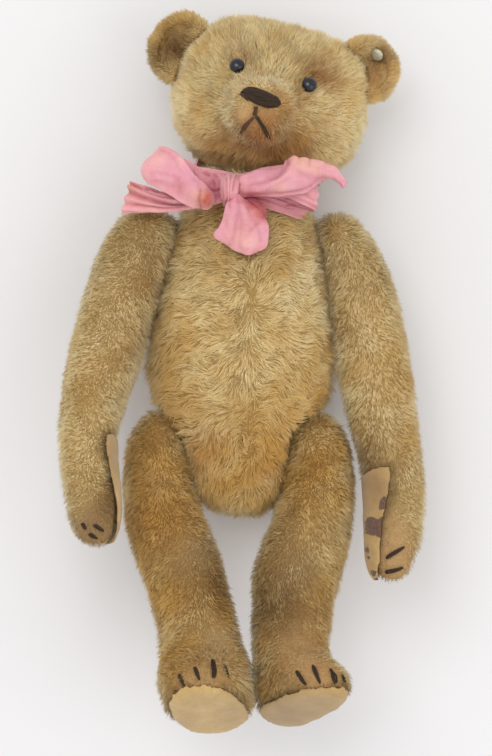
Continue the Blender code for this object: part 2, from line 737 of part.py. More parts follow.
head, neck_frame = make_head()
head_surface = surface_of(head)
skull = grown_copy(head, GAP)
ears = {side: make_ear(f"ear_{side}", side, neck_frame, skull) for side in SIDES}
patch("nose_stitching", head, oval(*NOSE, 12, 1.2), NOSE_THICKNESS, THREAD, neck_frame)
for side, x in EYES.items():
    make_eye(f"eye_{side}", x, EYE_LEVEL, head_surface, head, neck_frame)
make_ear_button(ears["left"], neck_frame)
mouth = stitch("mouth_stitching", head_surface, MOUTH_STEM, THREAD, neck_frame)
for i, end in enumerate(MOUTH_ENDS):
    part = stitch(f"mouth_{i}", head_surface, (MOUTH_FORK, end), None, neck_frame, 6)
    boolean(mouth, hide(part), "UNION")
boolean(head, floor, "DIFFERENCE")

neck_matrix = axle(NECK_PIVOT, NECK_AXIS)
neck_local = neck_frame.matrix_world.inverted() @ neck_matrix
boolean(torso, pocket("neck_torso_pocket", NECK_DISC_RADIUS, neck_matrix, None, -1), "DIFFERENCE")
boolean(head, pocket("neck_head_pocket", NECK_DISC_RADIUS, neck_local, neck_frame, 1), "DIFFERENCE")
joint_hardware("neck", "head", NECK_DISC_RADIUS, neck_matrix, neck_local, neck_frame)

LIMBS = (
    ("arm", "shoulder", SHOULDER_REACH, SHOULDER_DISC_RADIUS, make_arm, add_paw),
    ("leg", "hip", HIP_REACH, HIP_DISC_RADIUS, make_leg, add_sole),
)
for side, sign in SIDES.items():
    for limb, joint, reach, radius, make, details in LIMBS:
        body, frame = make(f"{limb}_{side}", side)
        outward = frame.matrix_world.to_3x3() @ Vector((sign, 0, 0))
        matrix = axle(frame.matrix_world.translation / MM, outward)
        local = frame.matrix_world.inverted() @ matrix
        tag = f"{joint}_{side}"
        boolean(torso, hollow(f"{tag}_hollow", reach, matrix), "DIFFERENCE")
        boolean(torso, pocket(f"{tag}_torso_pocket", radius, matrix, None, -1), "DIFFERENCE")
        surface = surface_of(body)
        details(side, body, frame, surface)
        boolean(body, pocket(f"{tag}_{limb}_pocket", radius, local, frame, 1), "DIFFERENCE")
        joint_hardware(tag, limb, radius, matrix, local, frame)

make_ribbon()
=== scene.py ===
import json
import math

import bmesh
import bpy
import numpy as np
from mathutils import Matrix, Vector
from mathutils.bvhtree import BVHTree
from mathutils.kdtree import KDTree


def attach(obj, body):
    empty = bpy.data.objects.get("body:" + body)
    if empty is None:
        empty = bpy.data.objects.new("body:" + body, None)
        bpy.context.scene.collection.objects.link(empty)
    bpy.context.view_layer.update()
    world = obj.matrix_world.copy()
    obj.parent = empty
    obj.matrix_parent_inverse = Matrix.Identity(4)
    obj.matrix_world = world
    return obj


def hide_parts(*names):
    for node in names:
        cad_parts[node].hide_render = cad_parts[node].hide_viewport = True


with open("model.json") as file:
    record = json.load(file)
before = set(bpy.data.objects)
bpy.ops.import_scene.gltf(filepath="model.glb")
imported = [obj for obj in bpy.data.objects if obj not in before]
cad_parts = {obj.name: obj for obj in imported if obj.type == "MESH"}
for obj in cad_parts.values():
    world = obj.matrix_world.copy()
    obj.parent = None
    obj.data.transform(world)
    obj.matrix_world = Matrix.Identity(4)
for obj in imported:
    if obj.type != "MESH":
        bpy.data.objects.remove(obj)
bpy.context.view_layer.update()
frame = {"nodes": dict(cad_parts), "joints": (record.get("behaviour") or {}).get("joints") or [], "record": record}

# Places and sizes are in millimetres in the CAD frame, and MM turns them into metres: the bear
# lies on its back, +Y runs to its head, +Z comes out of its front and +X is its own left.
MM = 0.001
JOINTS = {joint["name"]: joint for joint in frame["joints"]}
BODY_OF = {node: body for body, nodes in frame["record"]["behaviour"]["bodies"].items() for node in nodes}
HARDWARE = ("disc", "washer", "pin")
DISC_RADIUS = {"neck": 15.0, "shoulder": 11.0, "hip": 12.0}
PIN_HOLE_RADIUS = 2.0
POCKET_DEPTH = 13.0
FACE_DEPTH = 1.6            # nearer a joint's plane than this is the outer face of a piece
ROOM_REACH = 12.0           # beyond this, a piece is too far away to matter
FLOOR_GAP = 0.1


def srgb(red, green, blue):
    """A colour in display values from 0 to 255, as the linear colour that a shader reads."""
    shares = np.array((red, green, blue)) / 255
    linear = np.where(shares <= 0.04045, shares / 12.92, ((shares + 0.055) / 1.055) ** 2.4)
    return (*[float(v) for v in linear], 1.0)


# ---- materials ----


class Material:
    """A Principled material, and short calls that add nodes in front of it."""

    def __init__(self, name, constants):
        self.data = bpy.data.materials.new(name)
        self.data.use_nodes = True
        self.tree = self.data.node_tree
        self.shader = self.tree.nodes["Principled BSDF"]
        for socket, value in constants.items():
            self.shader.inputs[socket].default_value = value
        self.place = self.node("TexCoord").outputs["Object"]

    def node(self, kind, inputs=None, **settings):
        made = self.tree.nodes.new("ShaderNode" + kind)
        for key, value in settings.items():
            setattr(made, key, value)
        for key, value in (inputs or {}).items():
            if isinstance(value, bpy.types.NodeSocket):
                self.tree.links.new(value, made.inputs[key])
            else:
                made.inputs[key].default_value = value
        return made

    def maths(self, operation, first, second=0.0):
        return self.node("Math", {0: first, 1: second}, operation=operation).outputs[0]

    def mix(self, share, first, second, blend="MIX"):
        made = self.node("Mix", {0: share, 6: first, 7: second}, data_type="RGBA", blend_type=blend)
        return made.outputs[2]

    def ramp(self, value, *stops):
        made = self.node("ValToRGB", {0: value})
        elements = made.color_ramp.elements
        while len(elements) < len(stops):
            elements.new(0.5)
        for element, (position, colour) in zip(elements, stops):
            element.position = position
            element.color = colour if len(colour) == 4 else (*colour, 1.0)
        return made.outputs["Color"]

    def grey(self, value, low, high, dark=0.0, light=1.0):
        """A value spread from dark to light, as it goes from low to high."""
        made = self.node("MapRange", {"Value": value, "From Min": low, "From Max": high,
                                      "To Min": dark, "To Max": light})
        return made.outputs["Result"]

    def noise(self, size, detail=3.0, roughness=0.55, stretch=None):
        """Noise whose lumps are about size millimetres across."""
        place = self.place
        if stretch is not None:
            place = self.node("Mapping", {"Vector": place, "Scale": stretch}).outputs[0]
        inputs = {"Vector": place, "Scale": 1 / (size * MM), "Detail": detail, "Roughness": roughness}
        return self.node("TexNoise", inputs).outputs["Fac"]

    def mask(self, name):
        return self.node("Attribute", attribute_name=name).outputs["Fac"]

    def bump(self, height, distance, strength=1.0, normal=None):
        inputs = {"Height": height, "Distance": distance * MM, "Strength": strength}
        if normal is not None:
            inputs["Normal"] = normal
        return self.node("Bump", inputs).outputs["Normal"]

    def set(self, **sockets):
        for key, value in sockets.items():
            self.tree.links.new(value, self.shader.inputs[key.replace("_", " ")])
        return self.data


STRAW = srgb(242, 218, 158)
PALE = srgb(252, 236, 190)
DARK_STRAW = srgb(214, 183, 122)
GOLD = srgb(220, 174, 94)
BROWN = srgb(128, 92, 50)
RUST = srgb(196, 138, 84)
DIRT = srgb(134, 112, 84)
BACKING = srgb(228, 194, 142)
BARE_BROWN = srgb(112, 80, 48)
# painted shade: the dark tint of hairs whose roots lie near another body
CREASE_SHADE = srgb(72, 46, 26)


def mohair_colour(made, tone):
    """The colour of a hair or of the cloth under it, from the masks of gold, brown, rust and dirt, and from the
    crease mask, which is painted shade. On hairs the brown mask also holds painted shade near other bodies.
    """
    colour = made.ramp(tone, (0.0, DARK_STRAW), (0.5, STRAW), (1.0, PALE))
    for mask, tint in (("gold", GOLD), ("rust", RUST), ("brown", BROWN), ("dirt", DIRT),
                       ("crease_shade", CREASE_SHADE)):
        colour = made.mix(made.mask(mask), colour, tint)
    return colour


def mohair_material():
    """Hairs: darker at the root, a painted shade that stands in for the shadows they cast on each other, with a
    tone of their own.
    """
    made = Material("mohair_hair", {"Roughness": 0.72, "Specular IOR Level": 0.25, "Sheen Weight": 0.55,
                                    "Sheen Roughness": 0.4, "Sheen Tint": srgb(252, 230, 180)})
    colour = mohair_colour(made, made.mask("tone"))
    # painted shade: rise runs from root to tip, and this ramp darkens the root end
    shade = made.ramp(made.mask("rise"), (0.0, (0.70, 0.62, 0.48)), (0.5, (0.93, 0.90, 0.84)),
                      (1.0, (1.0, 1.0, 1.0)))
    return made.set(Base_Color=made.mix(1.0, colour, shade, "MULTIPLY"))


def backing_material():
    """The woven backing that shows where the pile has gone."""
    made = Material("mohair_backing", {"Roughness": 0.9, "Specular IOR Level": 0.2})
    worn = mohair_colour(made, made.noise(2.5))
    bare = BACKING
    for mask, tint in (("rust", RUST), ("brown", BARE_BROWN), ("dirt", DIRT)):
        bare = made.mix(made.mask(mask), bare, tint)
    # painted shade: the cloth under the pile is darkened, as if in the pile's shadow; where the pile is gone, the
    # bare cloth keeps its own colour
    shaded = made.mix(1.0, worn, (0.62, 0.54, 0.44, 1.0), "MULTIPLY")
    colour = made.mix(made.mask("bare"), shaded, bare)
    grain = made.ramp(made.noise(0.7, 4.0, 0.7), (0.3, (0.66, 0.60, 0.52)), (0.65, (1.0, 1.0, 1.0)))
    colour = made.mix(1.0, colour, grain, "MULTIPLY")
    threads = made.noise(0.5, 2.0, 0.6)
    return made.set(Base_Color=colour, Normal=made.bump(threads, 0.35, 0.8))


# ---- meshes ----


def add_object(name, mesh, material=None):
    made = bpy.data.objects.new(name, mesh)
    bpy.context.scene.collection.objects.link(made)
    if material is not None:
        mesh.materials.clear()
        mesh.materials.append(material)
    return made


def stand_in(piece, node):
    """Puts a piece in place of a node, on the node's body."""
    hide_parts(node)
    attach(piece, BODY_OF[node])


def evaluated_mesh(made):
    graph = bpy.context.evaluated_depsgraph_get()
    return bpy.data.meshes.new_from_object(made.evaluated_get(graph))


def read(rows, field, kind=np.float32):
    flat = np.empty(len(rows) * 3, kind)
    rows.foreach_get(field, flat)
    return flat.reshape(-1, 3)


def vertices_of(mesh):
    return read(mesh.vertices, "co").astype(float) / MM


def normals_of(mesh):
    return read(mesh.vertex_normals, "vector").astype(float)


def triangles_of(mesh):
    mesh.calc_loop_triangles()
    return read(mesh.loop_triangles, "vertices", np.int32)


def place_vertices(mesh, points):
    mesh.vertices.foreach_set("co", (points * MM).astype(np.float32).ravel())
    mesh.update()


def mesh_from(name, points, faces):
    mesh = bpy.data.meshes.new(name)
    mesh.from_pydata([tuple(p) for p in points * MM], [], faces)
    mesh.update()
    return mesh


def set_mask(mesh, name, values):
    layer = mesh.attributes.new(name, "FLOAT", "POINT")
    layer.data.foreach_set("value", np.clip(values, 0, 1).astype(np.float32))


def unit(vectors):
    return vectors / np.maximum(np.linalg.norm(vectors, axis=-1, keepdims=True), 1e-9)


def swirl(points, size, seed, waves=9):
    """A smooth random vector field, of about unit length, that changes over size millimetres."""
    rng = np.random.default_rng(seed)
    field = np.zeros_like(points)
    for _ in range(waves):
        along = rng.normal(size=3)
        along *= 2 * math.pi / (size * np.linalg.norm(along) * rng.uniform(0.7, 1.6))
        push = rng.normal(size=3)
        field += np.sin(points @ along + rng.uniform(0, 2 * math.pi))[:, None] * push
    return field * math.sqrt(2 / (3 * waves))


def across_to(axis, hint):
    """Two directions square to an axis, or to each of a row of axes."""
    first = unit(np.cross(axis, hint))
    return first, np.cross(axis, first)


def ring_faces(rings, sides, order=(0, 1, 2, 3)):
    """The faces of a closed run of rings. The other way round, its order is (0, 3, 2, 1)."""
    number = np.arange(rings * sides).reshape(rings, sides)
    beside = np.roll(number, -1, axis=1)
    corners = np.stack((number[:-1], beside[:-1], beside[1:], number[1:]), axis=-1).reshape(-1, 4)
    ends = (number[0, ::-1], number[-1]) if order[1] == 1 else (number[0], number[-1, ::-1])
    return corners[:, order].tolist() + [end.tolist() for end in ends]


def smooth_step(value, start, end):
    share = np.clip((value - start) / (end - start), 0, 1)
    return share * share * (3 - 2 * share)


def spline(rows, count):
    """count places, evenly spread, along a smooth curve through the rows."""
    rows = np.asarray(rows, float)
    ends = np.concatenate((2 * rows[:1] - rows[1:2], rows, 2 * rows[-1:] - rows[-2:-1]))
    at = np.linspace(0, len(rows) - 1, count)
    i = np.minimum(at.astype(int), len(rows) - 2)
    t = (at - i).reshape(-1, *[1] * (rows.ndim - 1))
    a, b, c, d = ends[i], ends[i + 1], ends[i + 2], ends[i + 3]
    return 0.5 * (2 * b + (c - a) * t + (2 * a - 5 * b + 4 * c - d) * t ** 2
                  + (3 * b - a - 3 * c + d) * t ** 3)


def tree_of(*nodes):
    """What rays can be cast on and distances measured to, made of CAD nodes or pieces."""
    points, faces = [], []
    for made in nodes:
        start = sum(len(p) for p in points)
        points.append(vertices_of(made.data))
        faces.append(triangles_of(made.data) + start)
    return BVHTree.FromPolygons(np.concatenate(points).tolist(), np.concatenate(faces).tolist())


# ---- wear ----

# pale is partly a paler tone of the fur and partly painted light, which lightens sides that turn from the lamps
MASKS = ("bare", "short", "long", "gold", "rust", "brown", "dirt", "pale")
RIBBON_MASKS = ("fade", "mauve", "fold", "deep")


def zone(x, y, z, radius, **strengths):
    """A round worn place, and how strongly it marks each mask."""
    return x, y, z, radius, strengths


def wear_at(points, zones, names=MASKS):
    """The masks at some points. A zone reaches deeper than it is wide."""
    masks = {name: np.zeros(len(points)) for name in names}
    for x, y, z, radius, strengths in zones:
        squared = (((points - (x, y, z)) * (1, 1, 0.5)) ** 2).sum(1) / radius ** 2
        share = np.exp(-squared)
        for name, strength in strengths.items():
            masks[name] += strength * share
    return {name: np.clip(values, 0, 1) for name, values in masks.items()}


# ---- covers ----


def in_pocket(point):
    """Whether a point is on the wall of a pocket that a joint's discs and pin lie in."""
    for name, joint in JOINTS.items():
        offset = point - Vector(joint["pos_m"])
        axis = Vector(joint["axis"]).normalized()
        height = abs(offset.dot(axis)) / MM
        radius = (offset - offset.dot(axis) * axis).length / MM
        on_disc = height > FACE_DEPTH and radius < DISC_RADIUS[name.split("_")[0]] + 1
        if height < POCKET_DEPTH and (radius < PIN_HOLE_RADIUS or on_disc):
            return True
    return False


def make_cover(node, voxel, rounds):
    """A closed fine mesh of a stuffed node's outside."""
    shape = bmesh.new()
    shape.from_mesh(frame["nodes"][node].data)
    bmesh.ops.remove_doubles(shape, verts=shape.verts, dist=1e-6)
    inside = [vertex for vertex in shape.verts if in_pocket(vertex.co)]
    bmesh.ops.delete(shape, geom=inside, context="VERTS")
    bmesh.ops.holes_fill(shape, edges=[edge for edge in shape.edges if edge.is_boundary])
    bmesh.ops.triangulate(shape, faces=shape.faces)
    mesh = bpy.data.meshes.new(node + "_cover")
    shape.to_mesh(mesh)
    shape.free()
    made = add_object(node + "_cover", mesh)
    remesh = made.modifiers.new("remesh", "REMESH")
    remesh.mode = "VOXEL"
    remesh.voxel_size = voxel * MM
    soften = made.modifiers.new("soften", "SMOOTH")
    soften.iterations = rounds
    made.data = evaluated_mesh(made)
    made.modifiers.clear()
    made.data.name = made.name
    made.data.shade_smooth()
    return made


def room(points, others):
    """How far each point is from the other bodies."""
    free = np.full(len(points), ROOM_REACH)
    for i, point in enumerate(points):
        found = others.find_nearest(Vector(point), ROOM_REACH)
        if found[0] is not None:
            free[i] = found[3]
    return free


def finish_cover(cover, node, inset, others):
    """Draws a cover in to where its pile starts, and writes its masks."""
    points, normals = vertices_of(cover.data), normals_of(cover.data)
    masks = wear_at(points, ZONES[node])
    near = smooth_step(room(points, others), 0.5, 4.0)
    depth = inset * (1 - masks["short"]) * near
    lumps = swirl(points, 17.0, 5)[:, 0] * 0.35 + swirl(points, 6.0, 6)[:, 0] * 0.12
    points = points + normals * (lumps * near - depth)[:, None]
    points[:, 2] = np.maximum(points[:, 2], FLOOR_GAP)
    place_vertices(cover.data, points)
    for name, values in masks.items():
        set_mask(cover.data, name, values)
    cover.data.materials.append(CLOTH)
    stand_in(cover, node)


# ---- pile ----


def scattered(mesh, count, density, rng):
    """Random places on a mesh: (points, normals), more of them where density is high."""
    points, normals, faces = vertices_of(mesh), normals_of(mesh), triangles_of(mesh)
    corners = points[faces]
    size = np.linalg.norm(np.cross(corners[:, 1] - corners[:, 0], corners[:, 2] - corners[:, 0]), axis=1)
    weight = size * density(corners.mean(1), unit(normals[faces].mean(1)))
    chosen = rng.choice(len(faces), count, p=weight / weight.sum())
    share = rng.random((count, 2))
    share = np.where(share.sum(1, keepdims=True) > 1, 1 - share, share)
    parts = np.column_stack((1 - share.sum(1), share))[:, :, None]
    return (corners[chosen] * parts).sum(1), unit((normals[faces[chosen]] * parts).sum(1))


UNDERCOAT = 0.4             # share of the hairs that are short and lie under the others
CROWD_REACH = 7.0           # how near another body must be to paint shade on the roots
CROWD_FADE = 3.0
TUFT_REACH = 1.6
HAIR_GAP = 0.7              # what a hair's tip keeps clear of other pieces
ROOT_SINK = 0.25            # how far a root lies under its cover
HAIR_FLOOR_GAP = 0.15
# the seed of the swirls that break up each mask on the hairs
FLECK_SEEDS = {"gold": 1893, "rust": 2081, "brown": 2789, "dirt": 1986, "crease_shade": 3453}


def lay_hairs(cover, count, zones, flow, wave, length, rng, seed):
    """The hairs of a cover. They lean with the flow, and gather in tufts as far as wave, from 0 to 1, says.
    Gives their roots, middles, tips, the normals under them, their tufts and which are undercoat."""

    def density(points, normals):
        beneath = np.where(normals[:, 2] < -0.35, 0.55, 1.0)
        return beneath * (1 - 0.93 * wear_at(points, zones)["bare"])

    roots, normals = scattered(cover.data, count, density, rng)
    masks = wear_at(roots, zones)
    flows = flow(roots)
    flows = unit(flows - (flows * normals).sum(1, keepdims=True) * normals)
    under = rng.random(count) < UNDERCOAT
    long = length * np.where(under, rng.uniform(0.4, 0.6, count), rng.uniform(0.75, 1.2, count))
    long *= (1 - 0.8 * masks["short"]) * (1 + 0.6 * masks["long"])
    long *= np.clip(1 + normals[:, 2] * 0.9, 0.5, 1)
    half = long[:, None] * 0.5

    lean = unit(normals * (1.1 - 0.5 * wave) + flows * (0.36 + 0.3 * wave)
                + swirl(roots, 11.0, seed + 1) * 0.42 * wave
                + rng.normal(0, 0.24 - 0.11 * wave, (count, 3)))
    bend = unit(lean + flows * 0.40 + swirl(roots, 6.0, seed + 2) * 0.55 * wave - normals * 0.12
                + rng.normal(0, 0.2 - 0.09 * wave, (count, 3)))
    lean, bend = [unit(v + normals * np.maximum(0.12 - (v * normals).sum(1), 0)[:, None])
                  for v in (lean, bend)]

    # each hair's tip is drawn towards the tip of the hair that leads its tuft
    leaders = rng.choice(count, max(1, int(count / (6 + 6 * wave))), replace=False)
    nearest = KDTree(len(leaders))
    for i, leader in enumerate(leaders):
        nearest.insert(roots[leader], i)
    nearest.balance()
    tufts = np.array([nearest.find(root)[1] for root in roots])
    mids = roots + lean * half
    tips = mids + bend * half
    lead = leaders[tufts]
    near = np.exp(-(np.linalg.norm(roots - roots[lead], axis=1) / TUFT_REACH) ** 2)
    draw = (rng.uniform(0.15, 0.5, count) * near * wave)[:, None]
    tips = tips + (tips[lead] - tips) * draw
    mids = mids + (mids[lead] - mids) * draw * 0.35
    return roots, mids, tips, normals, tufts, under


def clear_hairs(roots, mids, tips, obstacles, neighbours):
    """Cuts hairs back from the obstacles. Gives which have room, and how much the neighbours crowd each."""
    keep = np.ones(len(roots), bool)
    crowd = np.zeros(len(roots))
    for i, (root, tip) in enumerate(zip(roots, tips)):
        root = Vector(root)
        found = neighbours.find_nearest(root, CROWD_REACH)
        if found[0] is not None:
            crowd[i] = math.exp(-(found[3] / CROWD_FADE) ** 2)
        way = Vector(tip) - root
        hit = obstacles.ray_cast(root - way.normalized() * 0.3, way.normalized(), way.length + 0.9)
        if hit[0] is not None:
            share = (hit[3] - HAIR_GAP) / way.length
            if share < 0.3:
                keep[i] = False
            else:
                mids[i] = roots[i] + (mids[i] - roots[i]) * share
                tips[i] = roots[i] + (tips[i] - roots[i]) * share
    return keep, crowd


def hair_mesh(name, roots, mids, tips, normals, width, rng, seed):
    """A mesh of hairs, of two triangles each, and the corner of its hair that each vertex is: 0 at the
    root, 2 at the tip."""
    count = len(roots)
    across = unit(np.cross(unit(tips - roots), normals) + rng.normal(0, 0.35, (count, 3)))
    half = across * (width * rng.uniform(0.75, 1.25, count) / 2)[:, None]
    points = np.stack((roots - normals * ROOT_SINK, mids + half, tips, mids - half), axis=1)
    points[:, :, 2] = np.maximum(points[:, :, 2], HAIR_FLOOR_GAP)
    out = unit(np.cross(points[:, 1] - points[:, 0], points[:, 3] - points[:, 0]))
    faces_out = (out * (normals + (0, 0, 0.8))).sum(1) > 0
    out = np.where(faces_out[:, None], out, -out)
    order = np.where(faces_out[:, None], (0, 1, 2, 3), (0, 3, 2, 1))
    points = np.take_along_axis(points, order[:, :, None], axis=1)

    mesh = bpy.data.meshes.new(name)
    mesh.vertices.add(count * 4)
    mesh.vertices.foreach_set("co", (points * MM).astype(np.float32).ravel())
    corners = (4 * np.arange(count)[:, None] + (0, 1, 3, 1, 2, 3)).astype(np.int32).ravel()
    mesh.loops.add(len(corners))
    mesh.loops.foreach_set("vertex_index", corners)
    mesh.polygons.add(count * 2)
    mesh.polygons.foreach_set("loop_start", np.arange(0, count * 6, 3, dtype=np.int32))
    mesh.update(calc_edges=True)
    mesh.shade_smooth()

    # hairs are lit as the skin under them is, with some of their own slant
    lit = normals + np.outer(np.clip(normals[:, 2] + 0.35, 0, 1) * 0.45, (0, 0, 1))
    shine = unit(lit + unit(tips - mids) * 0.35 + swirl(roots, 4.0, seed + 3) * 0.16)
    shine = unit(shine + out * np.maximum(0.3 - (shine * out).sum(1), 0)[:, None])
    mesh.normals_split_custom_set_from_vertices(np.repeat(shine, 4, axis=0).tolist())

    # a small square of the bake's map for each hair
    grid = math.ceil(math.sqrt(count))
    cell = np.stack((np.arange(count) % grid, np.arange(count) // grid), axis=1)[:, None, :]
    shape = np.array(((0.5, 0.1), (0.9, 0.5), (0.5, 0.9), (0.1, 0.5)))
    spots = (cell + shape[order]) / grid
    layer = mesh.uv_layers.new(name="OFBake")
    layer.data.foreach_set("uv", spots.reshape(-1, 2)[corners].astype(np.float32).ravel())
    return mesh, order


def grow_pile(node, hairs, length, width, wave, flow, obstacles, neighbours, seed):
    """The pile of a stuffed node's cover."""
    rng = np.random.default_rng(seed)
    laid = lay_hairs(COVERS[node], hairs, ZONES[node], flow, wave, length, rng, seed)
    keep, crowd = clear_hairs(*laid[:3], obstacles, neighbours)
    roots, mids, tips, normals, tufts, under = [values[keep] for values in laid]
    crowd = crowd[keep]
    name = node + "_pile"
    mesh, order = hair_mesh(name, roots, mids, tips, normals, width, rng, seed)

    masks = wear_at(roots, ZONES[node])
    # painted shade: near another body the brown and crease masks darken the hairs, as if in the shade between the
    # parts
    masks["brown"] = np.clip(masks["brown"] + 0.4 * crowd, 0, 1)
    masks["gold"] = np.clip(masks["gold"] + swirl(roots, 13.0, 95)[:, 0] * 0.3 + 0.08, 0, 1)
    masks["crease_shade"] = 0.8 * crowd
    tuft_tone = rng.normal(0, 0.09, laid[4].max() + 1)[tufts]
    patchy = swirl(roots, 22.0, 77)[:, 0] * 0.10 + swirl(roots, 7.0, 78)[:, 0] * 0.08
    fine = swirl(roots, 2.6, 79)[:, 0] * 0.12 + swirl(roots, 4.2, 80)[:, 1] * 0.06
    # tone: random and tufted shades of the hair's own colour, lifted by the pale mask, which is partly painted
    # light
    tone = 0.5 + rng.normal(0, 0.14, len(roots)) + tuft_tone + patchy + fine + 0.45 * masks["pale"]
    # painted light and shade: hairs on slopes that turn from straight up are lighter, as a lit rim along the
    # outline, and undercoat hairs are darker, as if shaded by the hairs over them
    tone += 0.55 * smooth_step(1 - normals[:, 2], 0.3, 0.9) - 0.3 * under
    set_mask(mesh, "tone", np.repeat(tone, 4))
    set_mask(mesh, "rise", np.choose(order, (0.0, 0.5, 1.0, 0.5)).ravel())
    for mask, fleck_seed in FLECK_SEEDS.items():
        fleck = (rng.normal(0, 0.10, len(roots)) + swirl(roots, 12.0, fleck_seed)[:, 0] * 0.12
                 + swirl(roots, 3.4, fleck_seed + 1)[:, 0] * 0.09)
        set_mask(mesh, mask, np.repeat(np.where(masks[mask] > 0.01, masks[mask] + fleck, 0), 4))

    made = add_object(name, mesh, MOHAIR)
    made.visible_shadow = False
    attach(made, BODY_OF[node])


MOHAIR = mohair_material()
CLOTH = backing_material()

# ---- the stuffed pieces ----

NOSE = (7.5, 112, 84)


def down_body(points):
    sideways = np.clip((points[:, 1] + 60) / 55, 0.25, 1)
    out = np.clip((points[:, 0] - 1.8) / 5, -1, 1) * sideways
    waves = swirl(points, 14.0, 91)
    down = waves[:, 1] * 0.9 - 0.35 - 0.6 * (1 - sideways)
    return np.column_stack((out + waves[:, 0] * 0.5, down, np.zeros(len(points))))


def round_head(points):
    return points - NOSE


def down_limb(points):
    out = np.sign(points[:, 0]) * 0.25 + swirl(points, 24.0, 92)[:, 0] * 0.4
    return np.column_stack((out, np.full(len(points), -1.0), np.zeros(len(points))))


# node: (voxel, smoothing rounds, inset, hairs, hair length, hair width, waviness, flow)
ARM = (2.1, 4, 1.4, 44000, 4.3, 0.29, 0.4, down_limb)
LEG = (2.1, 4, 1.4, 47000, 4.5, 0.30, 0.6, down_limb)
EAR = (1.0, 2, 0.6, 10500, 3.3, 0.28, 0.7, round_head)
STUFFED = {
    "torso": (2.6, 4, 2.0, 78000, 6.3, 0.30, 0.82, down_body),
    "head": (1.9, 4, 1.8, 80000, 5.2, 0.28, 0.7, round_head),
    "arm_left": ARM, "arm_right": ARM, "leg_left": LEG, "leg_right": LEG, "ear_left": EAR, "ear_right": EAR,
}

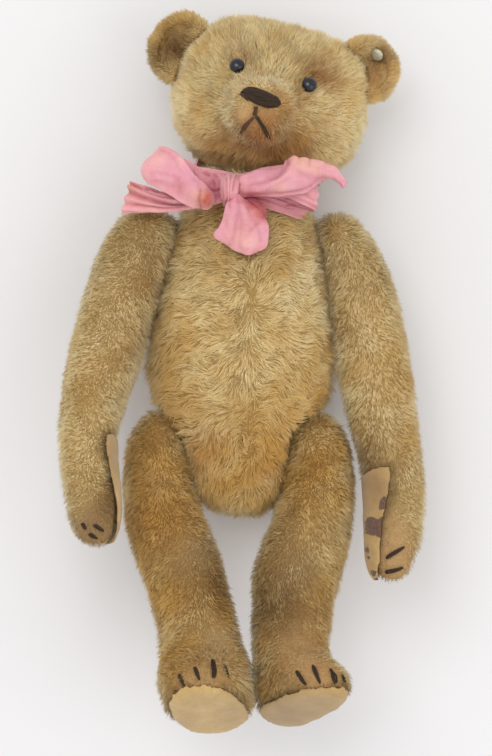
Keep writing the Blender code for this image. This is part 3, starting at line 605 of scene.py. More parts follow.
# Where each piece is worn, faded or dirty
ZONES = {
    "head": [
        # the clipped muzzle, and what is left of its pile
        zone(7.5, 110, 86, 15, short=0.72), zone(6, 121, 82, 10, short=0.4, pale=0.5),
        zone(7.1, 125, 80, 9, pale=0.6), zone(-2, 107.5, 85, 5.5, bare=0.75, short=0.3, rust=0.15),
        zone(9.5, 105.5, 85, 7, bare=0.45, rust=0.55), zone(3, 99, 80, 8, bare=0.3, rust=0.5, short=0.3),
        zone(17.3, 112, 80, 8, rust=0.3, gold=0.3), zone(5, 116, 89, 9, bare=0.4, rust=0.2),
        # worn skin round the eyes; the last two zones ring each eye with short brown fur, painted shade where the
        # eye sits sunk
        zone(31, 128.5, 70, 6, brown=0.3, rust=0.7), zone(36, 124, 66, 6, rust=0.6),
        zone(-2.2, 136, 70, 5, rust=0.5), zone(22, 119.5, 70, 5, rust=0.35),
        zone(28.5, 124.8, 72, 5.5, short=0.6, brown=0.35),
        zone(-4.5, 133.5, 72, 5.5, short=0.6, brown=0.3),
        # the forehead, the cheeks and under the chin
        zone(8, 143, 66, 24, dirt=0.28), zone(-23, 112, 60, 15, pale=0.5, gold=0.1),
        zone(38, 112, 58, 16, pale=0.45), zone(3, 91, 70, 12, rust=0.45, brown=0.25),
        zone(-12, 93, 66, 9, brown=0.22, rust=0.25), zone(19, 94, 64, 9, brown=0.2, rust=0.35),
        zone(-9, 103, 74, 5, brown=0.3), zone(17, 104, 74, 6, brown=0.25, gold=0.2),
        zone(24, 118, 66, 6, brown=0.2), zone(-9, 121, 72, 6, brown=0.18),
        zone(27, 134, 68, 8, brown=0.25), zone(2, 87, 62, 15, long=0.9), zone(-12, 90, 60, 10, long=0.6),
        zone(22, 90, 60, 10, long=0.5), zone(22, 92, 62, 14, rust=0.25, gold=0.4, brown=0.08),
        zone(-14, 97, 64, 11, gold=0.35, rust=0.2),
    ],
    "torso": [
        zone(-5, -54, 62, 24, gold=0.6), zone(-37, -18, 58, 20, gold=0.6), zone(36, -16, 58, 20, gold=0.6),
        zone(-34, 12, 58, 14, gold=0.45), zone(34, 14, 58, 12, gold=0.25), zone(-3, 10, 76, 28, pale=0.22),
        zone(10, -22, 72, 16, gold=0.3), zone(0, 47, 68, 17, gold=0.35, brown=0.18),
        zone(-26, 56, 58, 14, brown=0.25, gold=0.2), zone(26, 56, 58, 13, brown=0.15, gold=0.2),
        zone(10.7, 24.6, 75, 2.2, brown=0.75, short=0.4), zone(-15, -38, 66, 12, rust=0.3),
        zone(14, -40, 62, 12, gold=0.5, rust=0.15), zone(-36, 30, 55, 12, pale=0.25),
        zone(26, 34, 62, 15, pale=0.95), zone(38, -36, 50, 14, pale=0.2), zone(-3, 22, 74, 2.5, brown=0.3),
        zone(-3, 6, 76, 2.2, brown=0.25), zone(-2, -10, 76, 2.2, brown=0.25),
        zone(-2, -27, 74, 2.4, brown=0.3), zone(-42, 58, 52, 9, long=0.7, brown=0.3),
        zone(-44, 2, 36, 13, long=0.7), zone(42, 0, 36, 13, long=0.7),
        zone(38, 60, 50, 9, long=0.7, brown=0.3),
    ],
    "arm_right": [
        zone(-60, 0, 50, 90, pale=0.35, short=0.1), zone(-50, 52, 55, 16, brown=0.15, dirt=0.1),
        zone(-44, 27, 52, 14, brown=0.16, gold=0.15), zone(-70, -30, 68, 16, pale=0.25),
        zone(-56, -24, 66, 9, brown=0.4), zone(-63, -72, 84, 8, dirt=0.4, short=0.4),
        zone(-65, -73, 112, 10, bare=0.75, short=0.7, brown=0.6, dirt=0.25, rust=0.2),
        zone(-60, -64, 106, 6, brown=0.5, rust=0.2, short=0.3), zone(-58.5, -54, 100, 5, brown=0.45),
        zone(-75, -10, 60, 18, gold=0.35), zone(-62, 20, 62, 14, pale=0.35),
        zone(-42, 56, 50, 9, long=0.9), zone(-49, 2, 40, 12, long=1), zone(-50, 34, 62, 15, rust=0.15),
        zone(-50, 0, 64, 12, rust=0.15, brown=0.05),
    ],
    "arm_left": [
        zone(60, 0, 45, 90, pale=0.3, short=0.1), zone(50, 50, 55, 16, brown=0.12, dirt=0.06),
        zone(58, 12, 58, 16, pale=0.35), zone(74, 0, 45, 22, gold=0.4), zone(78, -40, 45, 20, gold=0.4),
        zone(70, -48, 62, 14, dirt=0.1, pale=0.2), zone(52, -36, 56, 12, brown=0.3),
        zone(66, -73, 65, 5.5, bare=0.6, short=0.7, rust=0.3, dirt=0.2),
        zone(66.5, -83, 65, 8, bare=0.9, short=0.8, rust=0.35, dirt=0.2),
        zone(66, -93, 62, 9, bare=0.95, short=0.8, rust=0.4, dirt=0.2, brown=0.1),
        # the brown at (53, -44) is painted shade where the paw lies against the leg
        zone(64, -60, 66, 5, brown=0.3, short=0.4), zone(53, -44, 56, 7, brown=0.5),
        zone(66, -24, 58, 13, pale=0.5), zone(42, 58, 48, 9, long=0.9), zone(46, 0, 40, 12, long=1),
        zone(52, 30, 60, 14, rust=0.1),
    ],
    "leg_right": [
        zone(-25, -90, 60, 120, gold=0.38, brown=0.14), zone(-44, -45, 55, 16, gold=0.3, pale=0.15),
        zone(-30, -48, 60, 16, pale=0.25, gold=0.2),
        zone(-18, -86, 78, 14, bare=0.45, short=0.45, dirt=0.4),
        zone(-42, -75, 62, 13, gold=0.7, rust=0.3), zone(-34, -105, 72, 13, gold=0.55),
        zone(-11, -125, 84, 12, bare=0.6, short=0.55, dirt=0.2, pale=0.3),
        zone(-8, -105, 80, 10, gold=0.2, brown=0.3), zone(-28, -133, 96, 11, gold=0.45, pale=0.2),
        zone(-16, -139, 112, 9, bare=0.5, short=0.7, rust=0.2, gold=0.2),
        zone(-24, -142, 108, 8, short=0.6, bare=0.3, rust=0.1, gold=0.2),
        zone(-14, -98, 80, 13, brown=0.36, gold=0.2), zone(-30, -68, 68, 10, gold=0.3),
    ],
    "leg_left": [
        zone(25, -90, 60, 120, gold=0.3, brown=0.14),
        zone(44, -45, 52, 18, brown=0.04, gold=0.3, pale=0.2),
        zone(26, -50, 60, 14, brown=0.06, gold=0.4, pale=0.15),
        zone(19, -90, 78, 14, bare=0.4, short=0.4, dirt=0.3), zone(40, -70, 64, 12, pale=0.25),
        zone(8, -112, 78, 11, brown=0.35, dirt=0.2),
        zone(24, -124, 86, 12, bare=0.55, short=0.55, rust=0.3), zone(34, -112, 76, 11, gold=0.4),
        zone(22, -135, 104, 11, short=0.5, bare=0.35, rust=0.1),
        zone(33, -138, 114, 9, short=0.75, bare=0.6, rust=0.4), zone(8, -138, 98, 9, brown=0.3, gold=0.2),
        zone(28, -66, 66, 12, gold=0.3), zone(14, -92, 76, 15, brown=0.3),
        zone(20, -110, 78, 13, brown=0.35),
    ],
    "ear_right": [
        # the brown and dirt where the ear meets the head, at (-30, 145), are partly painted shade
        zone(-34, 146, 42, 18, gold=0.55), zone(-30, 145, 46, 8.5, brown=0.75, dirt=0.15),
        zone(-37, 137, 42, 7, brown=0.5), zone(-34, 155, 42, 7, long=0.3),
        zone(-46, 144, 42, 8, long=0.35), zone(-41, 151, 42, 6, pale=0.3), zone(-26, 154, 42, 5, pale=0.2),
        zone(-40, 143, 42, 9, brown=0.3),
    ],
    "ear_left": [
        zone(57.5, 133, 44, 18, rust=0.12, gold=0.35),
        zone(57, 130, 47, 8, bare=0.7, rust=0.45, brown=0.1), zone(52, 137, 46, 5, bare=0.5, brown=0.5),
        zone(60.7, 138.8, 46, 5, bare=0.9, brown=1, short=0.5), zone(50, 128, 44, 5, brown=0.5),
        zone(54, 148.5, 42, 7, long=0.3, pale=0.3), zone(71, 138, 42, 8, long=0.3, pale=0.4),
        zone(66, 126, 42, 7, long=0.2, pale=0.3),
    ],
}


COVERS = {node: make_cover(node, *values[:2]) for node, values in STUFFED.items()}


def near_nodes(node):
    """What a stuffed node's pile keeps clear of: the nodes of the other bodies, and those sewn on it."""
    # an ear and the head run into each other, so neither keeps clear of the other
    inside = "ear" if node == "head" else "head"
    shown = {other: made for other, made in frame["nodes"].items() if not other.endswith(HARDWARE)}
    others = [made for other, made in shown.items() if BODY_OF[other] != BODY_OF[node]]
    own = [made for other, made in shown.items()
           if BODY_OF[other] == BODY_OF[node] and other != node and inside not in other]
    return others, own


def build_stuffed():
    for number, (node, values) in enumerate(STUFFED.items()):
        inset, hairs, length, width, wave, flow = values[2:]
        others, own = near_nodes(node)
        pads = [made for made in own if "pad" in made.name]
        finish_cover(COVERS[node], node, inset, tree_of(*others))
        grow_pile(node, hairs, length, width, wave, flow, tree_of(*others, *own), tree_of(*others, *pads),
                  100 + 10 * number)


# ---- threads ----

PLY_TWIST = 2.6             # radians for each millimetre of thread


def tube(route, radius, sides=8):
    """(points, faces) of a thread of two plies along a route. It tapers at its ends."""
    route = spline(route, 6 * len(route))
    along = unit(np.gradient(route, axis=0))
    first, second = across_to(along, (0.31, 0.17, 0.93))
    length = np.concatenate(([0], np.cumsum(np.linalg.norm(np.diff(route, axis=0), axis=1))))
    turn = 2 * math.pi * np.arange(sides) / sides
    share = length / length[-1]
    taper = np.minimum(1, 0.45 + 6 * np.minimum(share, 1 - share))
    ply = 1 + 0.18 * np.cos(2 * (turn[None, :] - PLY_TWIST * length[:, None]))
    reach = radius * taper[:, None] * ply
    ring = np.cos(turn)[None, :, None] * first[:, None] + np.sin(turn)[None, :, None] * second[:, None]
    points = (route[:, None] + ring * reach[:, :, None]).reshape(-1, 3)
    return points, ring_faces(len(route), sides)


def threads_piece(name, strands, node):
    """One piece made of strands, which are (route, radius, tone), in place of a node."""
    points, faces, tones = [], [], []
    start = 0
    for route, radius, tone in strands:
        placed, made = tube(route, radius)
        points.append(placed)
        faces += [[i + start for i in face] for face in made]
        tones.append(np.full(len(placed), tone))
        start += len(placed)
    mesh = mesh_from(name, np.concatenate(points), faces)
    mesh.shade_smooth()
    set_mask(mesh, "tone", np.concatenate(tones))
    stand_in(add_object(name, mesh, THREAD), node)


def thread_material():
    made = Material("sewing_thread", {"Roughness": 0.7, "Specular IOR Level": 0.2})
    colour = made.ramp(made.mask("tone"), (0.0, srgb(34, 25, 20)), (0.45, srgb(68, 52, 40)),
                       (0.7, srgb(110, 78, 62)), (1.0, srgb(150, 116, 84)))
    fuzz = made.noise(0.35, 3.0, 0.7)
    colour = made.mix(made.grey(fuzz, 0.45, 0.8, 0.0, 0.4), colour, srgb(120, 98, 80))
    return made.set(Base_Color=colour, Normal=made.bump(fuzz, 0.12, 0.8))


THREAD = thread_material()


def on_top(tree, x, y, lift):
    """A place over the surface, which a ray that comes straight down meets."""
    hit, normal, _, _ = tree.ray_cast(Vector((x, y, 400)), Vector((0, 0, -1)))
    return np.array(hit + normal * lift)


# the nose's upper and lower edges, and the mouth's strokes, seen from the front
NOSE_TOP = ((-2.2, 117.2), (-0.4, 118.4), (1.8, 119), (4, 118.8), (6.2, 118.3), (8.4, 117.5), (10.6, 116.6),
            (12.8, 115.3), (14.6, 113.6))
NOSE_LOW = ((-1.5, 115.9), (0.4, 114.7), (1.8, 113.8), (3.5, 112.7), (5.3, 111.6), (7.5, 110.8),
            (9.7, 110.6), (12.3, 110.7), (14.6, 112.1))
NOSE_THREADS = 12
# the places that a stroke runs through, its strands, their radius, how far apart they are, and their tone
MOUTH = (
    (((4.4, 110.9), (4.2, 109.1), (3.7, 106.9)), 3, 0.32, 0.5, 0.35),
    (((3.5, 106.3), (1.8, 104.9), (0, 103.2), (-1.8, 101.2), (-3.3, 100.1)), 3, 0.3, 0.5, 0.5),
    (((4.2, 106.9), (6.2, 104.5), (8.4, 101.4), (10.3, 98.8)), 2, 0.42, 0.85, 0.12),
    (((-1.6, 116.4), (-0.4, 115.2), (1.4, 113.4)), 2, 0.26, 0.6, 0.4),
)


def build_face():
    rng = np.random.default_rng(31)
    skin = tree_of(COVERS["head"])
    top, low = spline(NOSE_TOP, 11), spline(NOSE_LOW, 11)
    strands = []
    for i in range(NOSE_THREADS):
        share = (i + 0.5) / NOSE_THREADS
        route = []
        for k, (x, y) in enumerate(top + (low - top) * share):
            swell = math.sin(math.pi * (k + 0.5) / 11) ** 0.6
            lift = 0.5 + 1.2 * swell * math.sin(math.pi * (0.15 + 0.7 * share)) + rng.normal(0, 0.08)
            route.append(on_top(skin, x + rng.normal(0, 0.12), y + rng.normal(0, 0.07), lift))
        loose = int(rng.integers(0, 3)) if share > 0.45 else 0
        # the middle threads are lighter by a random share: a painted highlight along the nose's crown
        tone = 0.04 + 0.4 * math.sin(math.pi * share) * rng.random() + abs(rng.normal(0, 0.1))
        strands.append((route[loose:], 0.36 + rng.normal(0, 0.03), tone))
    threads_piece("nose_threads", strands, "nose_stitching")
    strands = []
    for line, count, radius, apart, tone in MOUTH:
        line = spline(line, 7)
        across = unit(np.gradient(line, axis=0))[:, ::-1] * (1, -1)
        for i in range(count):
            offset = (i - (count - 1) / 2) * apart
            route = [on_top(skin, *(place + sideways * offset + rng.normal(0, 0.09, 2)), 0.9 + radius)
                     for place, sideways in zip(line, across)]
            strands.append((route, radius, tone + abs(rng.normal(0, 0.1))))
    threads_piece("mouth_threads", strands, "mouth_stitching")


def long_ends(points):
    """The two ends of a long thin node."""
    middle = points.mean(0)
    along = np.linalg.svd(points - middle, full_matrices=False)[2][0]
    reach = (points - middle) @ along
    return points[reach < reach.min() + 0.6].mean(0), points[reach > reach.max() - 0.6].mean(0)


BROAD_CLAWS = ("claw_leg_right_2", "claw_leg_left_3")


def build_claws():
    rng = np.random.default_rng(32)
    skins = {node: tree_of(cover) for node, cover in COVERS.items() if node.startswith(("arm", "leg"))}
    for node, made in frame["nodes"].items():
        if not node.startswith("claw"):
            continue
        start, end = long_ends(vertices_of(made.data))
        foot = "leg" in node
        stretch = (end - start) * (0.12 if foot else 0.0)
        start, end = start - stretch, end + stretch
        sideways = unit(np.cross(end - start, (0, -0.4 if foot else 0, 1.0)))
        spread = 0.85 if node in BROAD_CLAWS else 0.5
        strands = []
        for i in (-1, 0, 1):
            route = []
            for share in np.linspace(0, 1, 6):
                wide = spread * (0.5 + 0.7 * math.sin(math.pi * min(1, share + 0.12)))
                spot = start + (end - start) * (share + rng.normal(0, 0.015)) + sideways * i * wide
                hit, normal, _, _ = skins[BODY_OF[node]].find_nearest(Vector(spot))
                route.append(np.array(hit) + np.array(normal) * (1.0 - abs(i) * 0.15))
            strands.append((route, 0.38, 0.12 + abs(rng.normal(0, 0.2))))
        threads_piece(node + "_threads", strands, node)


# ---- felt pads ----

# the moth holes and soiled places of each pad: (x, y, radius, strength), seen from the front. The first soiled
# place of the left paw pad, at its top, is painted shade where the pad meets the leg.
PAD_WEAR = {
    "paw_pad_left": {
        "hole": [
            (61, -65.7, 1.7, 1), (61.9, -63.2, 1.8, 1), (63.2, -69.3, 1.8, 0.9), (62.4, -72, 1.6, 0.8),
            (56.2, -72.9, 2.2, 1), (56, -76.5, 2.4, 1), (60.1, -73.2, 2.2, 1), (60.2, -77, 2.4, 1),
            (58.4, -75, 1.4, 0.8), (54.3, -85.4, 1.3, 0.8), (55.2, -88.8, 1.2, 0.7),
            (56.9, -95.3, 1.4, 0.9), (58.7, -98.9, 1.6, 0.9),
        ],
        "soil_and_shade": [(57, -55, 9, 0.6), (60, -75, 7, 0.35), (60, -90, 9, 0.3), (63, -62, 9, 0.3)],
    },
    "paw_pad_right": {
        "soil_and_shade": [(-62, -34, 8, 0.45), (-60, -48, 9, 0.4), (-58, -76, 9, 0.45), (-58.5, -64, 2.5, 0.4)],
    },
    "sole_pad_left": {
        "soil_and_shade": [(14, -156, 14, 0.55), (34, -152, 14, 0.35)],
    },
    "sole_pad_right": {
        "soil_and_shade": [(-26, -160, 6, 0.2), (-4, -154, 9, 0.3)],
    },
}


def felt_material():
    made = Material("felt_cream", {"Roughness": 0.95, "Specular IOR Level": 0.15, "Sheen Weight": 0.3,
                                   "Sheen Roughness": 0.6})
    colour = made.ramp(made.noise(7.0, 4.0, 0.6), (0.3, srgb(194, 159, 98)), (0.6, srgb(212, 177, 114)),
                       (0.8, srgb(220, 189, 128)))
    stains = made.grey(made.noise(1.1, 4.0, 0.7), 0.4, 0.75, 0.0, 0.35)
    colour = made.mix(stains, colour, srgb(176, 142, 98))
    # soil darkens the felt: dirt, and at the left paw pad's top painted shade
    colour = made.mix(made.mask("soil_and_shade"), colour, srgb(142, 110, 78))
    ragged = made.maths("ADD", made.mask("hole"), made.grey(made.noise(1.6, 4.0, 0.7), 0.3, 0.7, -0.3, 0.3))
    eaten = made.grey(ragged, 0.42, 0.56)
    under = made.ramp(made.noise(0.8, 3.0, 0.6), (0.3, srgb(84, 60, 50)), (0.7, srgb(132, 98, 80)))
    colour = made.mix(eaten, colour, under)
    nap = made.noise(0.45, 4.0, 0.75)
    depth = made.bump(made.grey(eaten, 0.0, 1.0, 1.0, 0.0), 0.6, 1.0)
    return made.set(Base_Color=colour, Normal=made.bump(nap, 0.22, 0.9, depth))


def build_pads():
    felt = felt_material()
    for node, wear in PAD_WEAR.items():
        pad = make_cover(node, 0.85, 5)
        points, normals = vertices_of(pad.data), normals_of(pad.data)
        dents = swirl(points, 9.0, 51)[:, 0] * 0.18 + swirl(points, 3.0, 52)[:, 0] * 0.06
        place_vertices(pad.data, points + normals * dents[:, None])
        zones = [zone(x, y, 0, radius, **{mask: strength})
                 for mask, spots in wear.items() for x, y, radius, strength in spots]
        for name, values in wear_at(points * (1, 1, 0), zones, ("hole", "soil_and_shade")).items():
            set_mask(pad.data, name, values)
        pad.data.materials.append(felt)
        stand_in(pad, node)


# ---- eyes, button and hardware ----


def turned_over(node, profile, segments=48):
    """A profile of (radius, height under the node's top) turned about a round node's own axis."""
    points = vertices_of(frame["nodes"][node].data)
    middle = points.mean(0)
    _, sizes, axes = np.linalg.svd(points - middle, full_matrices=False)
    odd = 0 if abs(sizes[0] - sizes[1]) > abs(sizes[1] - sizes[2]) else 2
    axis = axes[odd] * (1 if axes[odd][2] > 0 else -1)
    first, second = across_to(axis, (0.2, 1.0, 0.1))
    top = middle + axis * ((points - middle) @ axis).max()
    turn = 2 * math.pi * np.arange(segments) / segments
    circle = np.cos(turn)[:, None] * first + np.sin(turn)[:, None] * second
    rings = [top + axis * height + circle * max(radius, 0.01) for radius, height in profile]
    mesh = mesh_from(node + "_turned", np.concatenate(rings),
                     ring_faces(len(rings), segments, (0, 3, 2, 1)))
    mesh.shade_smooth()
    return mesh


def dome(radius, height, foot, steps=12):
    """A dome's profile, from its top down to its foot."""
    turns = [math.pi / 2 * i / steps for i in range(steps + 1)]
    return [(radius * math.sin(turn), height * (math.cos(turn) - 1)) for turn in turns] + foot


def build_eyes():
    made = Material("boot_button_glaze", {"Roughness": 0.12, "Specular IOR Level": 0.4, "Coat Weight": 0.45,
                                          "Coat Roughness": 0.05})
    scuffs = made.noise(0.9, 5.0, 0.75)
    colour = made.ramp(made.noise(3.0, 3.0), (0.3, srgb(6, 8, 13)), (0.7, srgb(18, 23, 38)))
    colour = made.mix(made.grey(scuffs, 0.56, 0.74, 0.0, 0.4), colour, srgb(84, 100, 128))
    rough = made.grey(scuffs, 0.4, 0.75, 0.05, 0.35)
    glaze = made.set(Base_Color=colour, Roughness=rough)
    for node in ("eye_left", "eye_right"):
        mesh = turned_over(node, dome(3.4, 2.4, [(3.3, -2.8), (2.8, -3.3), (1.0, -3.6), (1.0, -6.6)]))
        stand_in(add_object(node + "_button", mesh, glaze), node)


def build_ear_button():
    made = Material("old_nickel", {"Roughness": 0.4, "Metallic": 0.55, "Specular IOR Level": 0.5})
    tarnish = made.noise(1.2, 4.0, 0.7)
    colour = made.ramp(tarnish, (0.3, srgb(158, 150, 122)), (0.55, srgb(206, 200, 174)),
                       (0.75, srgb(226, 222, 200)))
    metal = made.set(Base_Color=colour, Roughness=made.grey(tarnish, 0.3, 0.7, 0.5, 0.25),
                     Normal=made.bump(tarnish, 0.08, 0.6))
    mesh = turned_over("ear_button", dome(2.8, 1.2, [(3.0, -1.3), (3.05, -1.45), (2.9, -1.6)]))
    stand_in(add_object("ear_rivet", mesh, metal), "ear_button")


def build_hardware():
    card = Material("pressed_card", {"Roughness": 0.9})
    fibres = card.noise(1.4, 5.0, 0.7, stretch=(1.0, 0.3, 1.0))
    tone = card.ramp(fibres, (0.3, srgb(122, 96, 66)), (0.7, srgb(168, 138, 98)))
    card.set(Base_Color=tone, Normal=card.bump(fibres, 0.15, 0.7))
    steel = Material("dull_steel", {"Roughness": 0.45, "Metallic": 1.0})
    rust = steel.noise(1.0, 5.0, 0.7)
    tone = steel.ramp(rust, (0.45, srgb(140, 138, 134)), (0.7, srgb(112, 76, 50)))
    steel.set(Base_Color=tone, Roughness=steel.grey(rust, 0.3, 0.7, 0.35, 0.8),
              Normal=steel.bump(rust, 0.05, 0.5))
    for node, made in frame["nodes"].items():
        if node.endswith(HARDWARE):
            made.data.materials.clear()
            made.data.materials.append((card if node.endswith("disc") else steel).data)


# ---- ribbon ----


def grid_normals(grid):
    along, across = np.gradient(grid, axis=0), np.gradient(grid, axis=1)
    return unit(np.cross(along, across))


def creased(grid, creases):
    """How far creases lift each point of a strip, seen from the front."""
    seen = grid[:, :, :2]
    lift = np.zeros(seen.shape[:2])
    for width, height, *route in creases:
        route = np.reshape(route, (-1, 2))
        near = np.full(lift.shape, np.inf)
        for start, end in zip(route[:-1], route[1:]):
            way = end - start
            share = np.clip(((seen - start) @ way) / (way @ way), 0, 1)
            near = np.minimum(near, np.linalg.norm(seen - start - share[:, :, None] * way, axis=2))
        lift += height * np.exp(-(near / width) ** 2)
    return lift


def cloth_strip(stations, size, pleats, crumple, ruffle, seed, creases=(), closed=False):
    """A grid of points on a strip of ribbon, and how far each lies in a crease. The stations' points each
    go across it. pleats is (how many, depth at the first station, depth at the last)."""
    stations = np.reshape(stations, (len(stations), -1, 3))
    grid = spline(np.swapaxes(spline(np.swapaxes(stations, 0, 1), size[1]), 0, 1), size[0])
    u = np.linspace(0, 1, size[0])[:, None]
    v = np.linspace(0, 1, size[1])[None, :]
    count, first, last = pleats
    normals = grid_normals(grid)
    phase = 2 * math.pi * (count * v + 0.16 * np.sin(2 * math.pi * (u * 0.8 + 0.37 * seed)) * (1 + v))
    fold = np.abs(np.sin(phase / 2)) * 2 - 1.2 + 0.25 * np.sin(phase * 1.7 + seed)
    shape = fold * (first + (last - first) * u) * np.minimum(1, 8 * np.minimum(v, 1 - v) + 0.35)
    flat = grid.reshape(-1, 3)
    wrinkle = swirl(flat, 8.0, seed + 40)[:, 0] + swirl(flat, 3.2, seed + 41)[:, 1] * 0.35
    shape = shape + crumple * wrinkle.reshape(shape.shape)
    shape = shape + ruffle * np.sin(u * 31 + 2.2 * np.sin(u * 9)) * np.maximum(0, v - 0.45) ** 1.5 * 2.2
    if closed:
        shape = shape * np.minimum(1, np.minimum(u, 1 - u) * 12)
    lift = creased(grid, creases)
    upward = np.clip(normals[:, :, 2] * 4, -1, 1)
    return grid + normals * (shape + lift * upward)[:, :, None], np.clip(-lift, 0, 1)


def lengths_along(grid, axis):
    """How far each row or column of a strip lies along it, on average."""
    step = np.linalg.norm(np.diff(grid, axis=axis), axis=2).mean(1 - axis)
    length = np.expand_dims(np.concatenate(([0], np.cumsum(step))), 1 - axis)
    return np.broadcast_to(length, grid.shape[:2]).ravel()


def sheet_mesh(strips, thickness):
    """(points, faces, along, across, sunk) of ribbon strips, each a thin closed body."""
    parts = [[] for _ in range(5)]
    start = 0
    for grid, sunk in strips:
        rows, columns = grid.shape[:2]
        normals = grid_normals(grid)
        for sign in (0.5, -0.5):
            values = ((grid + normals * thickness * sign).reshape(-1, 3), lengths_along(grid, 0),
                      lengths_along(grid, 1), sunk.ravel())
            for i, value in zip((0, 2, 3, 4), values):
                parts[i].append(value)
        upper = start + np.arange(rows * columns).reshape(rows, columns)
        for number, order in ((upper, (0, 1, 2, 3)), (upper + rows * columns, (0, 3, 2, 1))):
            corners = (number[:-1, :-1], number[1:, :-1], number[1:, 1:], number[:-1, 1:])
            parts[1].append(np.stack([corners[i] for i in order], axis=-1).reshape(-1, 4))
        rim = np.concatenate((upper[:, 0], upper[-1, 1:], upper[-2::-1, -1], upper[0, -2:0:-1]))
        low = rim + rows * columns
        parts[1].append(np.stack((rim, np.roll(rim, 1), np.roll(low, 1), low), axis=-1))
        start += 2 * rows * columns
    return [np.concatenate(part) for part in parts]


# the band's points across it: (how far from the neck's middle, how far up the neck)
BAND = ((30.2, -5.0), (30.4, -2.6), (30.0, -0.2), (29.6, 2.6))


def neck_band():
    """The stations of the gathered band round the neck."""
    joint = JOINTS["neck"]
    axis, up = np.array(joint["axis"], float), np.array((0, 0, 1.0))
    side = unit(np.cross(axis, up))
    middle = np.array(joint["pos_m"]) / MM
    stations = []
    for i in range(33):
        turn = 2 * math.pi * i / 32 - math.pi / 2
        out = side * math.cos(turn) + up * math.sin(turn)
        front = max(0.0, math.sin(turn))
        swell = 3.5 * front - 5.0 * max(0.0, -math.cos(turn))
        drop = 11.0 * min(1.0, front * 2.2)
        stations.append([middle + out * (radius + swell) + axis * (height - drop)
                         for radius, height in BAND])
    return stations


